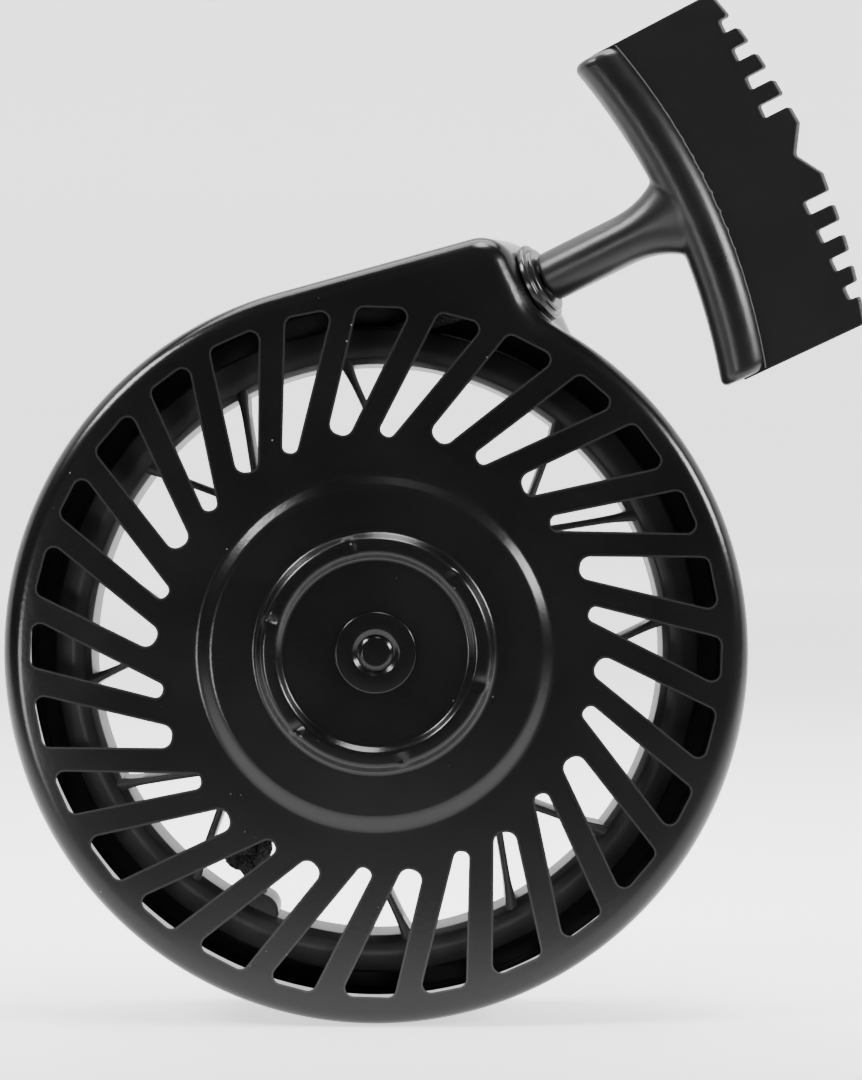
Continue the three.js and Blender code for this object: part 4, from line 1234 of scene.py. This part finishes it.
# ---------------------------------------------------------------- rope
@dataclass
class RopeWork:
    """The starter rope: its knot and coil on the pulley, the lead to the grommet, and the handle's end."""

    outlet: Matrix
    weave: Weave = field(default_factory=Weave)
    lane: float = -28.4
    lead_radius: float = 84.3
    lead_end: float = 2.6
    layers: tuple[float, float] = (83.95, 88.1)
    lanes: tuple[float, float] = (-23.65, -19.05)
    knot_at: tuple[float, float, float] = (68.5, 238.7, -23.7)
    knot_scale: float = 1.92
    stretch: tuple[float, float] = (2.9, 30.0)
    travel: float = 1590.0
    rope_end: float = 43.6
    washer_foot: float = 42.9
    handle_knot: float = 4.9

    def along(self, s: float) -> Vector:
        """A point on the rope's line outside the housing, by its distance from the spout wall."""
        return self.outlet @ Vector((s, 0, 0))

    def lead(self) -> bpy.types.Object:
        """The rope from the groove to the mouth of the grommet."""
        exit_at, pull = self.outlet.translation, self.outlet.col[0].xyz
        leave = math.atan2(exit_at.z, exit_at.x) + math.acos(self.lead_radius / math.hypot(exit_at.x,
            exit_at.z))
        path = [Vector((self.lead_radius * math.cos(leave + turn), self.lane,
                        self.lead_radius * math.sin(leave + turn)))
                for turn in np.radians([24, 18, 12, 6, 0])]
        mouth = exit_at - pull * 11.5
        flat = Vector((mouth.x, self.lane, mouth.z))
        path += [path[-1].lerp(flat, 0.3), path[-1].lerp(flat, 0.6), mouth, exit_at - pull * 3.4,
                 exit_at + pull * self.lead_end]
        return self.weave.build("rope_lead_braid", smoothed(path))

    def knot(self, name: str, centre: Vector, turn: Matrix, scale: float, weave: Weave,
             tail: Sequence[Vector]) -> bpy.types.Object:
        """An overhand knot drawn tight.

        Args:
            name: the piece's name.
            centre: its middle.
            turn: how it is turned.
            scale: a third of the reach of its loops.
            weave: the cord.
            tail: points that the cord goes on through.
        Returns:
            The braided knot.
        """
        path = []
        for t in np.linspace(0, 2 * math.pi * 0.985, 44):
            loop = Vector((math.sin(t) + 2 * math.sin(2 * t), -math.sin(3 * t) * 0.95,
                           math.cos(t) - 2 * math.cos(2 * t)))
            path.append(centre + turn @ (loop * scale))
        return weave.build(name, smoothed([*path, *tail], 2))

    def coil(self) -> bpy.types.Object:
        """The wound rope, two lanes wide and two layers deep."""
        path = []
        for i, (radius, y) in enumerate((r, y) for r in self.layers for y in self.lanes):
            for step in range(120):
                x, z = polar(radius, 360 * step / 120 + 12 * i)
                path.append((x, y, z))
        return piped("rope_wound", path, 2.05, Finishes.YARN, 2.0)

    def end(self) -> bpy.types.Object:
        """The rope into the handle; its first stretch is what comes out of the housing when it is pulled."""
        low, high = self.stretch
        shares = np.linspace(0, 1, 4000)
        drawn = (high - low) * shares + self.travel * shares ** 2 * (3 - 2 * shares)
        stops = [(low + (high - low) * float(np.interp(d, drawn, shares)), d) for d in np.arange(0,
            drawn[-1], 2.1)]
        stops += [(float(s), drawn[-1] + s - high) for s in np.arange(high, self.rope_end - 1.3, 0.5)]
        skin, rings, count = Skin(), [], 20
        for s, d in stops:
            ring = []
            for k in range(count):
                a, b = 2 * math.pi * k / count, 2 * math.pi * d / 13.0
                radius = 2.1 + 0.1 * math.cos(5 * a + b) * math.cos(5 * a - b)
                ring.append(self.outlet @ Vector((s, radius * math.cos(a), radius * math.sin(a))))
            rings.append(skin.ring(ring))
        skin.tube(rings)
        skin.fan(rings[0], self.along(low))
        skin.fan(rings[-1], self.along(stops[-1][0]))
        return skin.build("rope_end_cord", [Finishes.YARN], 180, 1e-7)

    def washer(self) -> bpy.types.Object:
        """The plated washer that the end knot bears on."""
        foot = self.washer_foot
        piece = turned_piece("handle_washer", [(2.5, foot, 0.2), (4.9, foot, 0.25), (4.9, foot + 1, 0.25),
                                               (2.5, foot + 1, 0.2)],
                             Finishes.ZINC, 64)
        turn = self.outlet @ Matrix.Rotation(-math.pi / 2, 4, "Z")
        turn.translation *= MM
        piece.data.transform(turn)
        return piece

    def build(self) -> None:
        """Makes every length of rope and what holds it."""
        dressed(self.lead(), "housing", "braid", "rope_lead")
        dressed(self.coil(), "pulley", "braid", "rope_coil")
        radius, angle, y = self.knot_at
        centre = Vector((radius * math.cos(math.radians(angle)), y, radius * math.sin(math.radians(angle))))
        tail = [Vector((r * math.cos(math.radians(244.4)), y,
                        r * math.sin(math.radians(244.4)))) for r in (75.5, 81.2)]
        turn = Matrix.Rotation(math.radians(-angle - 150), 3, "Y")
        knot = self.knot("rope_knot_braid", centre, turn, self.knot_scale, self.weave, tail)
        dressed(knot, "pulley", "braid", "rope_knot")
        cord = self.end()
        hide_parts("handle_rope")
        self.along(self.stretch[0]) * MM
        self.along(self.stretch[1]) * MM
        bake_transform(cord)
        log.info("%s bends from the housing to rope_end", cord.name)
        dressed(self.washer(), "rope_end", "zinc", "anchor_washer")
        fine = Weave(radius=1.7, lay=10, step=0.36)
        middle = self.along(44.2 + self.handle_knot)
        lump = self.knot("handle_knot_braid", middle, self.outlet.to_3x3(), 1.05, fine, [])
        dressed(lump, "rope_end", "braid", "handle_knot")


def smoothed(path: Sequence[Point], passes: int = 4) -> list[Point]:
    """A path with its corners cut, a few times over."""
    points = [Vector(point) for point in path]
    for _ in range(passes):
        cut = [points[0]]
        for here, ahead in zip(points, points[1:]):
            cut += [here.lerp(ahead, 0.25), here.lerp(ahead, 0.75)]
        points = [*cut, points[-1]]
    return [tuple(point) for point in points]


# ---------------------------------------------------------------- pull handle
@dataclass
class Handle:
    """The wide pull handle: a round bar on a flared stem, and a toothed plate beyond the bar."""

    outlet: Matrix
    foot: float = 3.7
    stem: float = 7.0
    flare: float = 13.4
    bow: float = 180.0
    bar: float = 49.2
    bar_radius: float = 7.2
    bar_half: float = 48.4
    plate_half: float = 48.9
    plate_thick: float = 5.6
    tip: float = 84.9
    notch_floor: float = 77.2
    notch: float = 3.8
    first_notch: float = 14.3
    notch_pitch: float = 8.4
    notches: int = 4
    vee: float = 7.4
    vee_depth: float = 4.6
    bore: float = 2.7
    pocket: tuple[float, float, float] = (42.6, 55.2, 5.4)

    def bowed(self, height: float, offset: float) -> float:
        """A height along the rope on the bar's slight bow."""
        return height - (self.bow - math.sqrt(self.bow ** 2 - offset ** 2))

    def placed(self, skin: Skin) -> None:
        """Moves points from the handle's own lengths into the frame."""
        skin.points = [tuple(self.outlet @ Vector(point)) for point in skin.points]

    def grip(self) -> bpy.types.Object:
        """The bar and stem run together with large fillets."""
        skin, rings = Skin(), []
        for share in np.linspace(-1, 1, 61):
            t = self.bar_half * share
            inset = 1.3 * max(0.0, (abs(share) - 0.955) / 0.045) ** 3
            s, radius = self.bowed(self.bar, t), self.bar_radius - inset
            rings.append(skin.ring((s + radius * math.cos(a), t,
                                    radius * math.sin(a)) for a in np.linspace(0, 2 * math.pi, 49)[:-1]))
        skin.tube(rings)
        skin.face(rings[0])
        skin.face(rings[-1])
        rings = []
        for s in [self.foot, self.foot + 0.35, self.foot + 0.9, *np.linspace(self.foot + 3, self.bar, 30)]:
            share = min(max((s - 26) / 18.5, 0), 1)
            chamfer = 0.9 * max(0.0, 1 - (s - self.foot) / 0.9) ** 2
            wide = self.stem - chamfer + (self.flare - self.stem) * share ** 2.6
            thick = min(wide, self.stem - 0.1)
            angles = np.linspace(0, 2 * math.pi, 49)[:-1]
            rings.append(skin.ring((s, wide * math.cos(a), thick * math.sin(a)) for a in angles))
        skin.tube(rings)
        skin.face(rings[0])
        skin.face(rings[-1])
        self.placed(skin)
        rough = skin.build("grip_rough", [Finishes.GRIP_BAR])
        merged = rough.modifiers.new("merge", "REMESH")
        merged.mode, merged.voxel_size = "VOXEL", 0.5 * MM
        soft = rough.modifiers.new("soft", "SMOOTH")
        soft.factor, soft.iterations = 0.6, 14
        return drilled(linked("handle_grip", evaluated(rough), [Finishes.GRIP_BAR]), [self.inside()],
                       [Finishes.GRIP_BAR])

    def inside(self) -> bpy.types.Object:
        """The rope's bore and the knot's pocket, open at the back of the handle."""
        start, end, half = self.pocket
        skin = Skin()
        arc = [(half * math.cos(a), half * math.sin(a)) for a in np.linspace(0, math.pi, 25)]
        rings = []
        for s, high in ((start, 1.0), (start + 7.5, 1.0), (start + 9.5, 0.8), (end - 1, 0.5), (end, 0.3)):
            rings.append(skin.ring((s, t, n) for t,
                                   n in [*((t, n * high) for t, n in arc), (-half, -12.0), (half, -12.0)]))
        skin.tube(rings)
        skin.face(rings[0])
        skin.face(rings[-1])
        ways = [skin.ring((s, self.bore * math.cos(a), self.bore * math.sin(a)) for a in np.linspace(0,
            2 * math.pi, 33)[:-1])
                for s in (self.foot - 2, start + 1)]
        skin.tube(ways)
        skin.face(ways[0])
        skin.face(ways[1])
        self.placed(skin)
        return skin.build("handle_inside", [Finishes.GRIP_BAR])

    def plate_outline(self) -> list[tuple[float, float]]:
        """The plate's outline along and across the rope, with its notches and vee rounded."""
        corners: list[Point] = [(self.bowed(self.tip, self.plate_half), -self.plate_half, 1.2)]
        middles = [side * (self.first_notch + self.notch_pitch * i) for side,
                   order in ((-1, reversed(range(self.notches))),
                   (1, range(self.notches))) for i in order]
        half = self.notch / 2
        for i, t in enumerate(middles):
            if i == self.notches:
                corners += [(self.tip, -self.vee, 0.9), (self.tip - self.vee_depth, 0, 1.6),
                            (self.tip, self.vee, 0.9)]
            corners += [(self.bowed(self.tip, t - half), t - half, 0.8), (self.notch_floor, t - half, 0.7),
                        (self.notch_floor, t + half, 0.7), (self.bowed(self.tip, t + half), t + half, 0.8)]
        corners.append((self.bowed(self.tip, self.plate_half), self.plate_half, 1.2))
        back = [(self.bowed(self.bar, t), t) for t in np.linspace(self.plate_half, -self.plate_half, 25)]
        return rounded([*corners, *back], steps=5)

    def plate(self) -> bpy.types.Object:
        """The toothed plate with softly rounded edges."""
        skin, outline, half, edge = Skin(), self.plate_outline(), self.plate_thick / 2, 0.55
        rings = []
        for side in (-1, 1):
            angles = np.linspace(math.pi / 2, 0, 5) if side < 0 else np.linspace(0, math.pi / 2, 5)
            levels = [(edge * (1 - math.cos(a)), half - edge + edge * math.sin(a)) for a in angles]
            levels.insert(0 if side < 0 else len(levels), (edge + 0.25, half))
            for inset, level in levels:
                rings.append(skin.ring((s, t, side * level) for s, t in grown(outline, -inset)))
        skin.tube(rings)
        skin.face(rings[0])
        skin.face(rings[-1])
        self.placed(skin)
        return skin.build("handle_plate", [Finishes.GRIP_PLATE], 40)

    def flash(self) -> bpy.types.Object:
        """The thin uneven flash left where the plate runs into the bar, on both faces; its pale finish is a
        painted highlight along the seam.
        """
        skin, reach = Skin(), math.sqrt(self.bar_radius ** 2 - (self.plate_thick / 2) ** 2)
        for side in (-1, 1):
            rings = []
            for t in np.linspace(-self.plate_half + 0.6, self.plate_half - 0.6, 160):
                ragged = math.sin(t * 1.7) * math.sin(t * 0.61 + side) * math.exp(-(t / 22) ** 2)
                s = self.bowed(self.bar + reach, t) + 0.1 + 0.22 * ragged
                size = 0.22 + 0.2 * abs(ragged)
                n = side * (self.plate_thick / 2 + 0.02)
                rings.append(skin.ring((s + size * math.cos(a), t, n + size * 0.8 * math.sin(a))
                                       for a in np.linspace(0, 2 * math.pi, 9)[:-1]))
            skin.tube(rings)
            skin.face(rings[0])
            skin.face(rings[-1])
        self.placed(skin)
        return skin.build("handle_flash", [Finishes.FLASH], 60)

    def build(self) -> None:
        """Makes the handle's pieces."""
        dressed(self.grip(), "handle", "grip", "pull_handle")
        dressed(drilled(self.plate(), [self.inside()], [Finishes.GRIP_PLATE]), "handle", "grip")
        dressed(self.flash(), "handle", "grip")


# ---------------------------------------------------------------- drive mechanism at the back
@dataclass
class Mechanism:
    """The dogs, their pins and springs, the retainer and the screw that holds it all on the post."""

    soft: dict[str, tuple[str, str, Finishes, float]] = field(default_factory=lambda: {
        "drive_dog_1": ("dog_1", "cast", Finishes.SINTER, 0.4),
        "drive_dog_2": ("dog_2", "cast", Finishes.SINTER, 0.4),
        "dog_pin_1": ("pulley", "zinc", Finishes.ZINC, 0.3),
        "dog_pin_2": ("pulley", "zinc", Finishes.ZINC, 0.3),
        "dog_retainer": ("retainer", "zinc", Finishes.ZINC, 0.35),
        "thrust_washer": ("housing", "nylon", Finishes.NYLON, 0.2),
        "friction_spring": ("housing", "spring_steel", Finishes.SPRING, 0.15),
        "retainer_washer": ("housing", "zinc", Finishes.ZINC, 0.2),
        "retainer_screw": ("housing", "zinc", Finishes.ZINC, 0.3),
        "dog_spring_1": ("pulley", "spring_steel", Finishes.SPRING, 0.12),
        "dog_spring_2": ("pulley", "spring_steel", Finishes.SPRING, 0.12),
    })

    def build(self) -> None:
        """Makes each piece from its CAD shape, with rounded edges."""
        for node, (body, slot, finish, width) in self.soft.items():
            dressed(softened(node, finish, width), body, slot, node)


# ---------------------------------------------------------------- studio
@dataclass
class Studio:
    """A pale floor and backdrop, soft lights and the camera."""

    eye: tuple[float, float, float] = (0.0151, -0.768, 0.0307)
    lens: float = 87.8
    floor: float = -0.1028
    wall: float = 9000.0
    glow: float = 1.35
    front: float = 0.2
    front_glow: float = 0.03

    def paper(self) -> bpy.types.Material:
        """Pale paper that glows like a lit sweep, brighter behind the starter than in front of it."""
        shader = Shader("studio_paper")
        split = shader.node("ShaderNodeSeparateXYZ", {}, {0: shader.place})
        glow = Field(shader, split.outputs[1]).step(-0.36, 0.02)
        shader.feed(shader.bsdf.inputs["Base Color"], shader.mix(glow, grey(self.front), grey(0.9, 0.004)))
        shader.feed(shader.bsdf.inputs["Emission Color"], shader.mix(glow, grey(self.front_glow), grey(1.0)))
        shader.bsdf.inputs["Emission Strength"].default_value = self.glow
        shader.bsdf.inputs["Roughness"].default_value = 0.75
        return shader.material

    def sweep(self) -> bpy.types.Object:
        """The floor and the wall round it as one curved sheet."""
        skin = Skin()
        level = self.floor / MM
        profile = rounded([(0.001, level), (self.wall, level, 1500), (self.wall, 10000)], closed=False,
                          steps=20)
        rings = []
        for radius, z in profile:
            rings.append(skin.ring((x, y, z) for x, y in (polar(radius, 360 * i / 96) for i in range(96))))
        skin.tube(rings)
        made = skin.build("studio_sweep", [Finishes.COAT], 60)
        made.data.materials[0] = self.paper()
        return made

    def lamp(self, name: str, place: Point, size: float, power: float, aim: Point = (0, 0, 0)) -> None:
        """A square soft light turned to a point."""
        light = bpy.data.lights.new(name, "AREA")
        light.shape, light.size, light.energy = "SQUARE", size, power
        made = bpy.data.objects.new(name, light)
        bpy.context.scene.collection.objects.link(made)
        made.location = place
        made.rotation_euler = (Vector(aim) - Vector(place)).to_track_quat("-Z", "Y").to_euler()

    def build(self) -> None:
        """Sets the whole studio up."""
        self.sweep()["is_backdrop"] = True
        self.lamp("key", (-0.75, -0.42, 0.75), 0.3, 13.0)
        self.lamp("side", (0.85, -0.45, 0.4), 0.28, 11.0)
        self.lamp("top", (0.15, -0.2, 1.0), 0.35, 9.0)
        self.lamp("low", (-0.3, -0.55, -0.06), 0.12, 0.8)
        self.lamp("behind", (0.0, 0.3, 0.9), 0.9, 20.0, (0, 0.9, 0.0))
        world = bpy.data.worlds.new("studio_air")
        world.use_nodes = True
        world.node_tree.nodes["Background"].inputs["Color"].default_value = (0.95, 0.97, 1.0, 1)
        world.node_tree.nodes["Background"].inputs["Strength"].default_value = 0.05
        bpy.context.scene.world = world
        lens = bpy.data.cameras.new("camera")
        lens.sensor_fit, lens.sensor_height, lens.lens = "VERTICAL", 36.0, self.lens
        lens.clip_start = 0.01
        camera = bpy.data.objects.new("camera", lens)
        bpy.context.scene.collection.objects.link(camera)
        camera.location = self.eye
        camera.rotation_euler = (math.radians(90), 0, 0)
        bpy.context.scene.camera = camera


def plain(size: object) -> list:
    """The bounds as plain lists, ready for JSON."""
    return [list(map(float, row)) if hasattr(row, "__len__") else float(row) for row in size]


def main() -> None:
    """Builds the starter and works out its size before and after."""
    logging.basicConfig(level=logging.INFO, format="%(message)s")
    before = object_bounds()
    housing = Housing()
    dressed(housing.build(), "housing", "coat", "starter_housing")
    PostAndCollar().build(housing.exit())
    Pulley().build()
    RopeWork(housing.exit()).build()
    Handle(housing.exit()).build()
    Mechanism().build()
    Studio().build()
    {"cad": plain(before), "visual": plain(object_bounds())}


if __name__ == "__main__":
    main()
